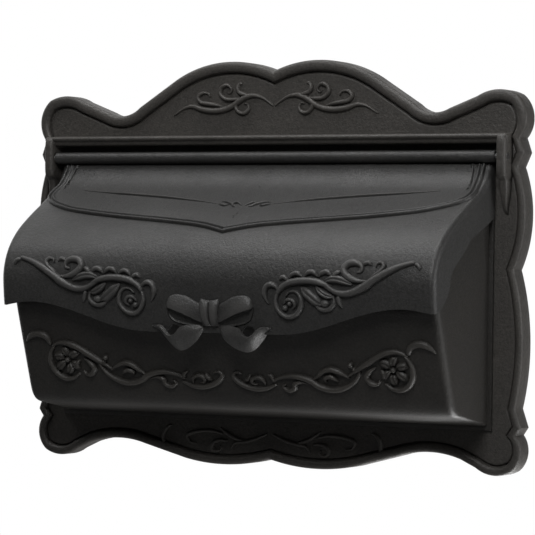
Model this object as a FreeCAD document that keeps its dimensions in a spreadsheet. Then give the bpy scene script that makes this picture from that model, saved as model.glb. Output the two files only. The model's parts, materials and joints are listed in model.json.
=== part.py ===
"""Wall mounted letter box: a scalloped cast back plate, a bolted-on cast box and a top-hinged cast lid.

Frame: origin in the middle of the four wall screws on the back face, +X to the right seen from the
front, -Y out from the wall, +Z up.  Millimetres.
"""
import FreeCAD, Part
import os
import Sketcher
from FreeCAD import Vector

SIZES = {
    # back plate outline, right half; heights are above the screw centre, drops and insets are from them
    "plate_half": 205.0, "plate_top": 154.5, "plate_foot": 149.0,
    "plate_depth": 16.0, "plate_face": 13.0, "plate_web": 3.5,
    "rim_width": 6.0, "skirt_wall": 4.0,
    "arch_peak_x": 36.0, "arch_end_x": 84.0, "arch_end_drop": 13.0,
    "cusp_drop": 7.5, "foot_cusp_rise": 5.5,
    "flank_end_in": 89.0, "flank_end_drop": 33.5, "valley_in": 74.0, "valley_drop": 40.0,
    "valley_end_in": 61.0, "valley_end_drop": 37.0, "lobe_start_in": 39.0, "lobe_start_drop": 28.5,
    "lobe_top_in": 21.0, "lobe_drop": 24.0, "shoulder_in": 8.0, "shoulder_drop": 27.5,
    "lobe_side_drop": 42.0, "notch_in": 5.0, "notch_drop": 59.0,
    "bump_in": 1.4, "bump_drop": 69.5, "corner_in": 6.0, "corner_drop": 80.0,
    "side_bulge_up": 40.0, "waist_in": 8.3, "waist_up": 0.5, "side_bulge_down": 45.0,
    "lower_bulge_in": 1.0,
    "foot_corner_rise": 50.0, "foot_bump_rise": 36.5, "foot_notch_rise": 31.0,
    "foot_lobe_side_rise": 17.0, "foot_shoulder_rise": 5.0, "foot_lobe_rise": 1.4,
    "foot_lobe_start_in": 37.0, "foot_lobe_start_rise": 6.6, "foot_valley_rise": 16.4,
    "foot_valley_start_in": 49.0, "foot_valley_start_rise": 12.2,
    "foot_flank_in": 97.0, "foot_flank_rise": 13.0, "foot_arch_end_x": 72.0, "foot_arch_end_rise": 3.4,
    # ledge over the hinge
    "ledge_top": 98.5, "ledge_bead": 94.5, "ledge_under": 91.0, "ledge_reach": 26.0, "ledge_step": 2.0,
    "ledge_round_in": 4.0, "ledge_round_drop": 1.5, "ledge_front_drop": 2.5, "ledge_step_drop": 1.0,
    "joint_bite": 0.5,
    # hinge
    "hinge_out": 22.0, "hinge_up": 82.0, "barrel_radius": 4.4, "ear_gap": 1.2, "ear_width": 8.0,
    "ear_reach": 27.5, "ear_step": 67.0, "ear_tip": 42.0, "ear_into_ledge": 1.0, "ear_chin_down": 6.0,
    "ear_chin_in": 2.0, "ear_heel_in": 5.0, "ear_heel_drop": 1.5, "ear_tip_out": 17.0,
    "ear_tip_drop": 2.0,
    "pin_radius": 2.5, "pin_in_lid": 18.0,
    "pin_running_gap": 0.05, "pin_end_gap": 1.0, "barrel_half": 184.8,
    # box
    "box_half_front": 174.0, "side_draft": 4.0, "box_wall": 3.5, "box_depth": 97.0,
    "box_rear_top": 62.0, "box_front_top": 12.0, "box_knee_down": 30.0,
    "box_toe_out": 75.0, "box_toe_down": 91.0, "box_heel_out": 60.0, "box_heel_down": 104.0,
    "toe_mid_out": 69.5, "toe_mid_down": 99.5,
    "box_foot_down": 112.5, "flange_width": 3.0, "flange_thick": 3.0, "flange_top_gap": 6.0,
    "drain_radius": 3.0, "drain_out": 42.0, "drain_x": 110.0,
    # screws that hold the box to the plate
    "boss_radius": 7.0, "boss_length": 16.0, "side_boss_in": 9.5, "top_boss_up": 40.0,
    "low_boss_down": 78.0,
    "foot_boss_x": 60.0, "foot_boss_in": 10.0,
    "screw_radius": 2.5, "screw_bite": 11.0, "screw_hole_gap": 0.25, "head_radius": 4.75,
    "head_height": 3.3,
    "washer_radius": 5.0, "washer_thick": 1.0, "washer_gap": 0.2,
    # lid
    "lid_gap": 0.8, "lid_wall": 3.0, "lid_root_out": 20.0, "lid_root_up": 78.5, "lid_clear": 2.0,
    "cove_mid_out": 26.0, "cove_mid_up": 66.0, "cove_end_out": 38.0, "cove_end_up": 56.0,
    "brow_out": 86.0, "brow_up": 28.5, "nose_mid_out": 103.5, "nose_mid_up": 12.5,
    "nose_out": 110.0, "nose_down": 6.0, "lip_out": 104.5, "lip_down": 47.5,
    "cheek_front_down": 31.0, "cheek_front_in": 2.5, "cheek_rear_up": 38.0, "cheek_mid_out": 79.0,
    "cheek_mid_up": 1.0,
    "lip_flat_x": 46.0, "lip_bend_x": 80.0, "lip_bend_rise": 2.0, "lip_rise_x": 125.0,
    "lip_crest_x": 150.0,
    "lip_crest_down": 28.0, "lip_corner_down": 31.5, "lip_rise_down": 33.0,
    "trim_spare": 3.0,
    # bow on the lip
    "bow_out": 114.0, "knot_half": 8.5, "knot_top": 23.5, "knot_foot": 42.5,
    "loop_half": 35.5, "loop_top": 19.8, "loop_root_top": 26.0, "loop_root_foot": 35.0,
    "loop_foot": 37.5,
    "tail_root_x": 14.0, "tail_low_x": 29.0, "tail_low": 60.5, "tail_tip_x": 46.0, "tail_tip": 43.0,
    "tail_bend_x": 32.5,
    "tail_width": 9.0, "tail_inner_x": 4.0, "tail_tip_wide": 4.0, "tail_tip_drop": 1.0,
    "loop_crown_in": 6.0, "loop_heel_in": 3.0, "bow_bite": 1.0,
    # wall screws
    "wall_screw_x": 280.0, "wall_screw_up": 120.0, "wall_screw_radius": 3.25, "wall_boss_radius": 8.0,
}

doc = FreeCAD.newDocument("wall_letter_box")
sheet = doc.addObject("Spreadsheet::Sheet", "Sizes")
for row, (alias, number) in enumerate(SIZES.items(), start=1):
    sheet.set("A%d" % row, alias)
    sheet.set("B%d" % row, str(number))
    sheet.setAlias("B%d" % row, alias)
doc.recompute()


class Size:
    """A sheet value or a sum of them: it carries its number and the expression that makes it."""

    def __init__(self, number, text):
        self.number = float(number)
        self.text = text

    def __add__(self, other):
        other = sized(other)
        return Size(self.number + other.number, "(%s + %s)" % (self.text, other.text))

    def __radd__(self, other):
        return sized(other) + self

    def __neg__(self):
        return Size(-self.number, "(0 - %s)" % self.text)

    def __sub__(self, other):
        return self + -sized(other)

    def __rsub__(self, other):
        return sized(other) + -self

    def __mul__(self, factor):
        return Size(self.number * factor, "(%s * %.6g)" % (self.text, factor))

    __rmul__ = __mul__


def sized(value):
    """A plain number as a Size; a Size stays as it is."""
    return value if isinstance(value, Size) else Size(value, "%.6g" % value)


class Sheet:
    """Reads the spreadsheet's cells by alias: s.plate_half is that cell's Size."""

    def __getattr__(self, alias):
        return Size(sheet.get(alias), "Sizes." + alias)


s = Sheet()


# ---------------------------------------------------------------- sketches and features

def new_body(name):
    """An empty PartDesign body whose label names its file."""
    body = doc.addObject("PartDesign::Body", name)
    body.Label = name
    return body


def plane_sketch(body, name, role, offset=None):
    """A sketch on one of the body's own origin planes, moved along its normal by an offset."""
    sketch = body.newObject("Sketcher::SketchObject", name)
    plane = next(f for f in body.Origin.OriginFeatures if f.Role == role)
    sketch.AttachmentSupport = [(plane, "")]
    sketch.MapMode = "FlatFace"
    if offset is not None:
        sketch.setExpression("AttachmentOffset.Base.z", offset.text)
    return sketch


def bind_point(sketch, geometry, end, place):
    """Tie one point of a sketch to a pair of sizes measured from the sketch's origin."""
    for kind, value in (("DistanceX", sized(place[0])), ("DistanceY", sized(place[1]))):
        if value.number == 0.0:
            axis = -2 if kind == "DistanceX" else -1
            sketch.addConstraint(Sketcher.Constraint("PointOnObject", geometry, end, axis))
            continue
        index = sketch.addConstraint(Sketcher.Constraint(kind, -1, 1, geometry, end, value.number))
        sketch.setExpression("Constraints[%d]" % index, value.text)


def spot(place):
    """A pair of sizes as a point of the sketch."""
    return Vector(sized(place[0]).number, sized(place[1]).number, 0)


def trace(sketch, start, steps):
    """Draw a closed outline: each step is an end place, or (place on the arc, end place)."""
    here = start
    first = None
    joint = None
    for step in steps:
        is_arc = isinstance(step[0], tuple)
        end = step[1] if is_arc else step
        a = spot(here)
        b = spot(end)
        if is_arc:
            via = spot(step[0])
            edge = sketch.addGeometry(Part.Arc(a, via, b), False)
            mark = sketch.addGeometry(Part.Point(via), True)
            bind_point(sketch, mark, 1, step[0])
            sketch.addConstraint(Sketcher.Constraint("PointOnObject", mark, 1, edge))
        else:
            edge = sketch.addGeometry(Part.LineSegment(a, b), False)
        begin = 1 if (sketch.getPoint(edge, 1) - a).Length < (sketch.getPoint(edge, 2) - a).Length else 2
        if joint:
            sketch.addConstraint(Sketcher.Constraint("Coincident", joint[0], joint[1], edge, begin))
        else:
            first = (edge, begin)
        bind_point(sketch, edge, begin, here)
        joint = (edge, 3 - begin)
        here = end
    sketch.addConstraint(Sketcher.Constraint("Coincident", joint[0], joint[1], first[0], first[1]))


def circle(sketch, centre, radius):
    """A circle bound to the sheet."""
    edge = sketch.addGeometry(Part.Circle(spot(centre), Vector(0, 0, 1), radius.number), False)
    bind_point(sketch, edge, 3, centre)
    index = sketch.addConstraint(Sketcher.Constraint("Radius", edge, radius.number))
    sketch.setExpression("Constraints[%d]" % index, radius.text)


def feature(body, kind, sketch, length=None, reverse=False, both=False):
    """Pad or Pocket a sketch by a length, or right through without one; both: from its plane both ways."""
    made = body.newObject("PartDesign::" + kind, sketch.Name + "_" + kind.lower())
    made.Profile = sketch
    if length is not None:
        made.setExpression("Length", sized(length).text)
    else:
        made.Type = "ThroughAll"
    made.Midplane = both
    made.Reversed = reverse
    sketch.Visibility = False
    return made


def mirror(steps):
    """The same places on the left-hand side."""
    def turned(place):
        return (-sized(place[0]), place[1])
    return [(turned(step[0]), turned(step[1])) if isinstance(step[0], tuple) else turned(step)
            for step in steps]


def whole(sketch, start, right):
    """A closed outline from its right half, which runs from one place on the centre line to another."""
    left = mirror(right)
    places = [start] + [step[1] if isinstance(step[0], tuple) else step for step in left]
    back = []
    for index in range(len(left) - 1, -1, -1):
        step = left[index]
        back.append((step[0], places[index]) if isinstance(step[0], tuple) else places[index])
    trace(sketch, start, right + back)


# ---------------------------------------------------------------- back plate

def plate_outline(inset):
    """Right half of the scalloped outline, set in by a width; from the top cusp to the foot cusp."""
    def p(x, z, inward_x, inward_z):
        return (x - inward_x * inset, z - inward_z * inset)
    mitre = 1.15
    start = (0, s.plate_top - s.cusp_drop - mitre * inset)
    steps = [
        (p(s.arch_peak_x, s.plate_top, 0, 1), p(s.arch_end_x, s.plate_top - s.arch_end_drop, 0.47, 0.88)),
        p(s.plate_half - s.flank_end_in, s.plate_top - s.flank_end_drop, 0.52, 0.85),
        (p(s.plate_half - s.valley_in, s.plate_top - s.valley_drop, 0, 1),
         p(s.plate_half - s.valley_end_in, s.plate_top - s.valley_end_drop, -0.37, 0.93)),
        p(s.plate_half - s.lobe_start_in, s.plate_top - s.lobe_start_drop, -0.35, 0.94),
        (p(s.plate_half - s.lobe_top_in, s.plate_top - s.lobe_drop, 0, 1),
         p(s.plate_half - s.shoulder_in, s.plate_top - s.shoulder_drop, 0.55, 0.83)),
        (p(s.plate_half, s.plate_top - s.lobe_side_drop, 1, 0),
         p(s.plate_half - s.notch_in, s.plate_top - s.notch_drop, 1.1, 0)),
        p(s.plate_half - s.bump_in, s.plate_top - s.bump_drop, 1.1, 0),
        p(s.plate_half - s.corner_in, s.plate_top - s.corner_drop, 1.1, 0),
        (p(s.plate_half, s.side_bulge_up, 1, 0), p(s.plate_half - s.waist_in, s.waist_up, 1, 0)),
        (p(s.plate_half - s.lower_bulge_in, -s.side_bulge_down, 1, 0),
         p(s.plate_half - s.corner_in, s.foot_corner_rise - s.plate_foot, 1.1, 0)),
        p(s.plate_half - s.bump_in, s.foot_bump_rise - s.plate_foot, 1.1, 0),
        p(s.plate_half - s.notch_in, s.foot_notch_rise - s.plate_foot, 1.1, 0),
        (p(s.plate_half - s.bump_in, s.foot_lobe_side_rise - s.plate_foot, 1, 0),
         p(s.plate_half - s.shoulder_in, s.foot_shoulder_rise - s.plate_foot, 0.55, -0.83)),
        (p(s.plate_half - s.lobe_top_in, s.foot_lobe_rise - s.plate_foot, 0, -1),
         p(s.plate_half - s.foot_lobe_start_in, s.foot_lobe_start_rise - s.plate_foot, -0.4, -0.92)),
        p(s.plate_half - s.foot_valley_start_in, s.foot_valley_start_rise - s.plate_foot, -0.4, -0.92),
        (p(s.plate_half - s.valley_in, s.foot_valley_rise - s.plate_foot, 0, -1),
         p(s.plate_half - s.foot_flank_in, s.foot_flank_rise - s.plate_foot, 0.3, -0.95)),
        p(s.foot_arch_end_x, s.foot_arch_end_rise - s.plate_foot, 0.25, -0.97),
        (p(s.arch_peak_x, -s.plate_foot, 0, -1), (0, s.foot_cusp_rise - s.plate_foot + mitre * inset)),
    ]
    return start, steps


def ear_profile(sketch):
    """Side view of one hinge ear: a block round the pin with a step and a long tapered tail."""
    root = -s.plate_face + s.joint_bite
    top = s.ledge_under + s.ear_into_ledge
    trace(sketch, (root, top), [
        (-s.ear_reach, top),
        (-s.ear_reach, s.hinge_up - s.ear_chin_down),
        (-s.ear_reach + s.ear_chin_in, s.ear_step),
        (-s.ear_reach + s.ear_heel_in, s.ear_step - s.ear_heel_drop),
        (-s.ear_tip_out, s.ear_tip),
        (root, s.ear_tip - s.ear_tip_drop),
        (root, top),
    ])


def ledge_profile(sketch):
    """Side view of the ledge: a rounded nose over a small step, running into the plate."""
    root = -s.plate_face + s.joint_bite
    under = -s.ledge_reach + s.ledge_step
    trace(sketch, (root, s.ledge_top), [
        (-s.ledge_reach + s.ledge_round_in, s.ledge_top - s.ledge_round_drop),
        (-s.ledge_reach, s.ledge_top - s.ledge_front_drop),
        (-s.ledge_reach, s.ledge_bead),
        (under, s.ledge_bead - s.ledge_step_drop),
        (under, s.ledge_under),
        (root, s.ledge_under),
        (root, s.ledge_top),
    ])


def back_plate():
    """The casting that goes on the wall: raised rim, hollow back, screw bosses, ledge and hinge ears."""
    body = new_body("back_plate")
    outer = plane_sketch(body, "plate_outline", "XZ_Plane")
    whole(outer, *plate_outline(0))
    feature(body, "Pad", outer, s.plate_depth)
    face = plane_sketch(body, "plate_panel", "XZ_Plane", s.plate_face)
    whole(face, *plate_outline(s.rim_width))
    feature(body, "Pocket", face, s.plate_depth, reverse=True)
    hollow = plane_sketch(body, "plate_hollow", "XZ_Plane", s.plate_face - s.plate_web)
    whole(hollow, *plate_outline(s.skirt_wall))
    feature(body, "Pocket", hollow, s.plate_depth)
    bosses = plane_sketch(body, "wall_bosses", "XZ_Plane")
    for x, z in wall_screw_places():
        circle(bosses, (x, z), s.wall_boss_radius)
    feature(body, "Pad", bosses, s.plate_face - 0.5 * s.plate_web)
    ledge = plane_sketch(body, "ledge", "YZ_Plane")
    ledge_profile(ledge)
    feature(body, "Pad", ledge, 2 * s.barrel_half + 2 * s.ear_gap + 2 * s.ear_width, both=True)
    for side in ("right", "left"):
        offset = s.barrel_half + s.ear_gap if side == "right" else -s.barrel_half - s.ear_gap - s.ear_width
        ear = plane_sketch(body, "ear_" + side, "YZ_Plane", offset)
        ear_profile(ear)
        feature(body, "Pad", ear, s.ear_width)
    holes = plane_sketch(body, "wall_holes", "XZ_Plane")
    for x, z in wall_screw_places():
        circle(holes, (x, z), s.wall_screw_radius)
    feature(body, "Pocket", holes, both=True)
    clearance = plane_sketch(body, "box_screw_holes", "XZ_Plane")
    for x, z in box_screw_places():
        circle(clearance, (x, z), s.screw_radius + s.screw_hole_gap)
    feature(body, "Pocket", clearance, both=True)
    pin_holes = plane_sketch(body, "pin_holes", "YZ_Plane")
    circle(pin_holes, (-s.hinge_out, s.hinge_up), s.pin_radius)
    feature(body, "Pocket", pin_holes, both=True)
    return body


def wall_screw_places():
    """The four wall screws, right pair first."""
    return [(side * s.wall_screw_x, up * s.wall_screw_up) for side in (0.5, -0.5) for up in (0.5, -0.5)]


def box_screw_places():
    """The six machine screws that hold the box: two a side and two along the foot."""
    places = []
    for side in (1, -1):
        places.append((side * (s.box_half_front + s.side_draft - s.side_boss_in), s.top_boss_up))
        places.append((side * (s.box_half_front + s.side_draft - s.side_boss_in), -s.low_boss_down))
        places.append((side * s.foot_boss_x, s.foot_boss_in - s.box_foot_down))
    return places


# ---------------------------------------------------------------- box

def side_trapezoid(sketch, extra):
    """Plan view of a drafted width: narrow at the front, wider at the wall, both sides."""
    front = s.box_half_front + extra
    rear = front + s.side_draft
    trace(sketch, (rear, 0), [(front, -s.nose_out), (-front, -s.nose_out), (-rear, 0), (rear, 0)])


def side_offcuts(sketch, extra):
    """Plan view of the two wedges outside a drafted width."""
    front = s.box_half_front + extra
    rear = front + s.side_draft
    out = -s.bow_out - s.trim_spare
    for side in (1, -1):
        edge = side * s.plate_half
        trace(sketch, (side * rear, 0), [(side * front, -s.nose_out), (side * front, out), (edge, out),
                                         (edge, 0), (side * rear, 0)])


def box_side_region(sketch):
    """Side view of the box, filled: sloping top edge, front wall, rounded toe and falling floor."""
    trace(sketch, (-s.plate_face, s.box_rear_top), [
        (-s.box_depth, -s.box_front_top),
        (-s.box_depth, -s.box_knee_down),
        (-s.box_toe_out, -s.box_toe_down),
        ((-s.toe_mid_out, -s.toe_mid_down), (-s.box_heel_out, -s.box_heel_down)),
        (-s.plate_face, -s.box_foot_down),
        (-s.plate_face, s.box_rear_top),
    ])


def box_band(sketch):
    """Side view of the front wall and floor as one bent strip of the wall's thickness."""
    trace(sketch, (-s.box_depth, -s.box_front_top), [
        (-s.box_depth, -s.box_knee_down),
        (-s.box_toe_out, -s.box_toe_down),
        ((-s.toe_mid_out, -s.toe_mid_down), (-s.box_heel_out, -s.box_heel_down)),
        (-s.plate_face, -s.box_foot_down),
        (-s.plate_face, -s.box_foot_down + s.box_wall),
        (-s.box_heel_out + 0.1 * s.box_wall, -s.box_heel_down + s.box_wall),
        ((-s.toe_mid_out + 0.7 * s.box_wall, -s.toe_mid_down + 0.75 * s.box_wall),
         (-s.box_toe_out + s.box_wall, -s.box_toe_down + 0.3 * s.box_wall)),
        (-s.box_depth + s.box_wall, -s.box_knee_down),
        (-s.box_depth + s.box_wall, -s.box_front_top),
        (-s.box_depth, -s.box_front_top),
    ])


def box_body():
    """The bolted-on casting: open at the top and at the back, with a flange and six screw bosses."""
    body = new_body("box_body")
    region = plane_sketch(body, "box_side", "YZ_Plane")
    box_side_region(region)
    feature(body, "Pad", region, 2 * s.box_half_front + 2 * s.side_draft, both=True)
    core = plane_sketch(body, "box_core", "XY_Plane")
    side_trapezoid(core, -s.box_wall)
    feature(body, "Pocket", core, both=True)
    band = plane_sketch(body, "box_band", "YZ_Plane")
    box_band(band)
    feature(body, "Pad", band, 2 * s.box_half_front + 2 * s.side_draft, both=True)
    offcuts = plane_sketch(body, "box_offcuts", "XY_Plane")
    side_offcuts(offcuts, 0)
    feature(body, "Pocket", offcuts, both=True)
    flange = plane_sketch(body, "box_flange", "XZ_Plane", s.plate_face)
    reach = s.box_half_front + s.side_draft + s.flange_width
    inner = s.box_half_front + s.side_draft - s.box_wall
    top = s.cheek_rear_up - s.flange_top_gap
    trace(flange, (reach, top), [
        (reach, -s.box_foot_down - s.flange_width),
        (-reach, -s.box_foot_down - s.flange_width),
        (-reach, top),
        (-inner, top),
        (-inner, s.box_wall - s.box_foot_down),
        (inner, s.box_wall - s.box_foot_down),
        (inner, top),
        (reach, top),
    ])
    feature(body, "Pad", flange, s.flange_thick)
    bosses = plane_sketch(body, "box_bosses", "XZ_Plane", s.plate_face)
    for x, z in box_screw_places():
        circle(bosses, (x, z), s.boss_radius)
    feature(body, "Pad", bosses, s.boss_length)
    threads = plane_sketch(body, "box_threads", "XZ_Plane", s.plate_face)
    for x, z in box_screw_places():
        circle(threads, (x, z), s.screw_radius)
    feature(body, "Pocket", threads, s.screw_bite + 1, reverse=True)
    drains = plane_sketch(body, "drain_holes", "XY_Plane", -s.box_foot_down - 4)
    for x in (s.drain_x, -s.drain_x):
        circle(drains, (x, -s.drain_out), s.drain_radius)
    feature(body, "Pocket", drains, s.box_foot_down - s.box_toe_down + s.box_wall, reverse=True)
    return body


# ---------------------------------------------------------------- lid

def lid_cheek_region(sketch):
    """Side view of the lid, filled down to the cheek's sloping lower edge."""
    trace(sketch, (-s.plate_face - s.lid_clear, s.lid_root_up), [
        (-s.lid_root_out, s.lid_root_up),
        ((-s.cove_mid_out, s.cove_mid_up), (-s.cove_end_out, s.cove_end_up)),
        (-s.brow_out, s.brow_up),
        ((-s.nose_mid_out, s.nose_mid_up), (-s.nose_out, -s.nose_down)),
        (-s.nose_out + s.cheek_front_in, -s.cheek_front_down),
        ((-s.cheek_mid_out, s.cheek_mid_up), (-s.plate_face - s.lid_clear, s.cheek_rear_up)),
        (-s.plate_face - s.lid_clear, s.lid_root_up),
    ])


def lid_band(sketch):
    """Side view of the lid's skin: cove, flat brow, round nose and the lip, one wall thick."""
    def inside(out, up, back, down):
        return (-out + back * s.lid_wall, up - down * s.lid_wall)
    trace(sketch, (-s.lid_root_out, s.lid_root_up), [
        ((-s.cove_mid_out, s.cove_mid_up), (-s.cove_end_out, s.cove_end_up)),
        (-s.brow_out, s.brow_up),
        ((-s.nose_mid_out, s.nose_mid_up), (-s.nose_out, -s.nose_down)),
        (-s.lip_out, -s.lip_down),
        (-s.lip_out + s.lid_wall, -s.lip_down),
        (-s.nose_out + s.lid_wall, -s.nose_down),
        (inside(s.nose_mid_out, s.nose_mid_up, 0.72, 0.7), inside(s.brow_out, s.brow_up, 0.49, 0.87)),
        inside(s.cove_end_out, s.cove_end_up, 0.55, 0.84),
        (inside(s.cove_mid_out, s.cove_mid_up, 0.8, 0.6), inside(s.lid_root_out, s.lid_root_up, 1, 0.1)),
        (-s.lid_root_out, s.lid_root_up),
    ])


def lip_scallop(sketch):
    """Front view of what is cut away under the scalloped lip."""
    below = -s.lip_down - s.trim_spare
    corner = s.box_half_front + s.side_draft + s.lid_gap + s.lid_wall + s.trim_spare
    right = [
        (s.lip_flat_x, -s.lip_down),
        ((s.lip_bend_x, -s.lip_down + s.lip_bend_rise), (s.lip_rise_x, -s.lip_rise_down)),
        ((s.lip_crest_x, -s.lip_crest_down), (corner, -s.lip_corner_down)),
        (corner, below),
    ]
    left = mirror(right)
    trace(sketch, (-s.lip_flat_x, -s.lip_down), right + [
        left[3],
        left[2][1],
        (left[2][0], left[1][1]),
        (left[1][0], left[0]),
    ])


def bow_outline(sketch):
    """Front view of the bow, one closed outline: knot, two loops and two hanging tails."""
    half = [
        (s.knot_half, -s.knot_top),
        (s.knot_half, -s.loop_root_top),
        (s.loop_half - s.loop_crown_in, -s.loop_top),
        ((s.loop_half, -0.5 * (s.loop_top + s.loop_foot)), (s.loop_half - s.loop_heel_in, -s.loop_foot)),
        (s.knot_half, -s.loop_root_foot),
        (s.knot_half, -s.knot_foot),
        (s.tail_root_x, -s.knot_foot - 0.5 * s.bow_bite),
        ((s.tail_bend_x, -s.tail_low + s.tail_width + s.tail_tip_drop),
         (s.tail_tip_x - s.tail_tip_wide, -s.tail_tip + s.tail_tip_drop)),
        (s.tail_tip_x, -s.tail_tip),
        ((s.tail_low_x, -s.tail_low), (s.tail_inner_x, -s.knot_foot - s.bow_bite)),
        (0, -s.knot_foot - s.bow_bite),
    ]
    whole(sketch, (0, -s.knot_top), half)


def lid():
    """The top-hinged casting: ogee skin, two side cheeks, hinge barrel, scalloped lip and bow."""
    body = new_body("lid")
    width = 2 * s.box_half_front + 2 * s.side_draft + 2 * s.lid_gap + 2 * s.lid_wall
    region = plane_sketch(body, "lid_side", "YZ_Plane")
    lid_cheek_region(region)
    feature(body, "Pad", region, width, both=True)
    core = plane_sketch(body, "lid_core", "XY_Plane")
    side_trapezoid(core, s.lid_gap)
    feature(body, "Pocket", core, both=True)
    band = plane_sketch(body, "lid_band", "YZ_Plane")
    lid_band(band)
    feature(body, "Pad", band, width, both=True)
    offcuts = plane_sketch(body, "lid_offcuts", "XY_Plane")
    side_offcuts(offcuts, s.lid_gap + s.lid_wall)
    feature(body, "Pocket", offcuts, both=True)
    scallop = plane_sketch(body, "lip_scallop", "XZ_Plane")
    lip_scallop(scallop)
    feature(body, "Pocket", scallop, both=True)
    barrel = plane_sketch(body, "hinge_barrel", "YZ_Plane")
    circle(barrel, (-s.hinge_out, s.hinge_up), s.barrel_radius)
    feature(body, "Pad", barrel, 2 * s.barrel_half, both=True)
    bow = plane_sketch(body, "bow", "XZ_Plane", s.lip_out - s.bow_bite)
    bow_outline(bow)
    feature(body, "Pad", bow, s.bow_out - s.lip_out + s.bow_bite)
    depth = s.pin_in_lid + s.pin_end_gap
    for side in ("right", "left"):
        offset = s.barrel_half - depth if side == "right" else -s.barrel_half
        bore = plane_sketch(body, "pin_bore_" + side, "YZ_Plane", offset)
        circle(bore, (-s.hinge_out, s.hinge_up), s.pin_radius + s.pin_running_gap)
        feature(body, "Pocket", bore, depth, reverse=True)
    return body


# ---------------------------------------------------------------- pins, screws and washers

def round_piece(name, stages, centre, along):
    """A turned piece as stacked pads: stages are (radius, start, length) along -Y or +X."""
    body = new_body(name)
    role = "XZ_Plane" if along == "y" else "YZ_Plane"
    for index, (radius, begin, length) in enumerate(stages):
        sketch = plane_sketch(body, "%s_ring_%d" % (name, index), role, begin)
        circle(sketch, centre, radius)
        feature(body, "Pad", sketch, length)
    return body


def hinge_pins():
    """Two steel pins pressed into the ears, running in the ends of the lid's barrel."""
    length = s.pin_in_lid + s.ear_gap + s.ear_width
    places = {"right": s.barrel_half - s.pin_in_lid, "left": -s.barrel_half - s.ear_gap - s.ear_width}
    return [round_piece("hinge_pin_" + side, [(s.pin_radius, start, length)], (-s.hinge_out, s.hinge_up), "x")
            for side, start in places.items()]


def box_fasteners():
    """One pan head screw and one washer at each of the box's six bosses, fitted from the wall side."""
    names = ("top_right", "low_right", "foot_right", "top_left", "low_left", "foot_left")
    seat = s.plate_face - s.plate_web
    pieces = []
    for name, place in zip(names, box_screw_places()):
        under_head = seat - s.washer_thick
        shank = s.joint_bite + s.washer_thick + s.plate_web + s.screw_bite
        stages = [(s.head_radius, under_head - s.head_height, s.head_height),
                  (s.screw_radius, under_head - s.joint_bite, shank)]
        pieces.append(round_piece("box_screw_" + name, stages, place, "y"))
        washer = new_body("box_washer_" + name)
        ring = plane_sketch(washer, "washer_" + name, "XZ_Plane", seat - s.washer_thick)
        circle(ring, place, s.washer_radius)
        circle(ring, place, s.screw_radius + s.washer_gap)
        feature(washer, "Pad", ring, s.washer_thick)
        pieces.append(washer)
    return pieces


# ---------------------------------------------------------------- build, check and write

pieces = [back_plate(), box_body(), lid()] + hinge_pins() + box_fasteners()
doc.recompute()

faults = [item.Label for item in doc.Objects if {"Invalid", "Error"} & set(item.State)]
for sketch in doc.findObjects("Sketcher::SketchObject"):
    if sketch.solve() != 0:
        faults.append(sketch.Label + " does not solve")
for piece in pieces:
    if piece.Shape.isNull() or not piece.Shape.isValid() or len(piece.Shape.Solids) != 1:
        faults.append(piece.Label + " is not one valid solid")
    volume = 0.0
    for item in piece.Group:
        if item.TypeId in ("PartDesign::Pad", "PartDesign::Pocket"):
            if abs(item.Shape.Volume - volume) < 1e-3:
                faults.append(item.Label + " changes nothing")
            volume = item.Shape.Volume
if faults:
    raise RuntimeError("; ".join(faults))

os.makedirs("parts", exist_ok=True)
for piece in pieces:
    piece.Shape.exportStep(os.path.join("parts", piece.Label + ".step"))
    print("%-24s %9.1f mm3" % (piece.Label, piece.Shape.Volume))
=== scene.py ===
# %% [markdown]
# # A cast wall mailbox, piece by piece
# The mailbox is three castings (a wall plate, a letter box and a lid), two hinge pins
# and a few screws. The engineering model already fixes every size, so this lesson only
# gives the castings their real surfaces. We load that model first and keep its box,
# because the finished shapes have to stay inside it.

# %% Load the frame
import json
import math

import bmesh
import bpy
import numpy as np
from mathutils import Matrix, Vector
from mathutils.geometry import tessellate_polygon

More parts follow.
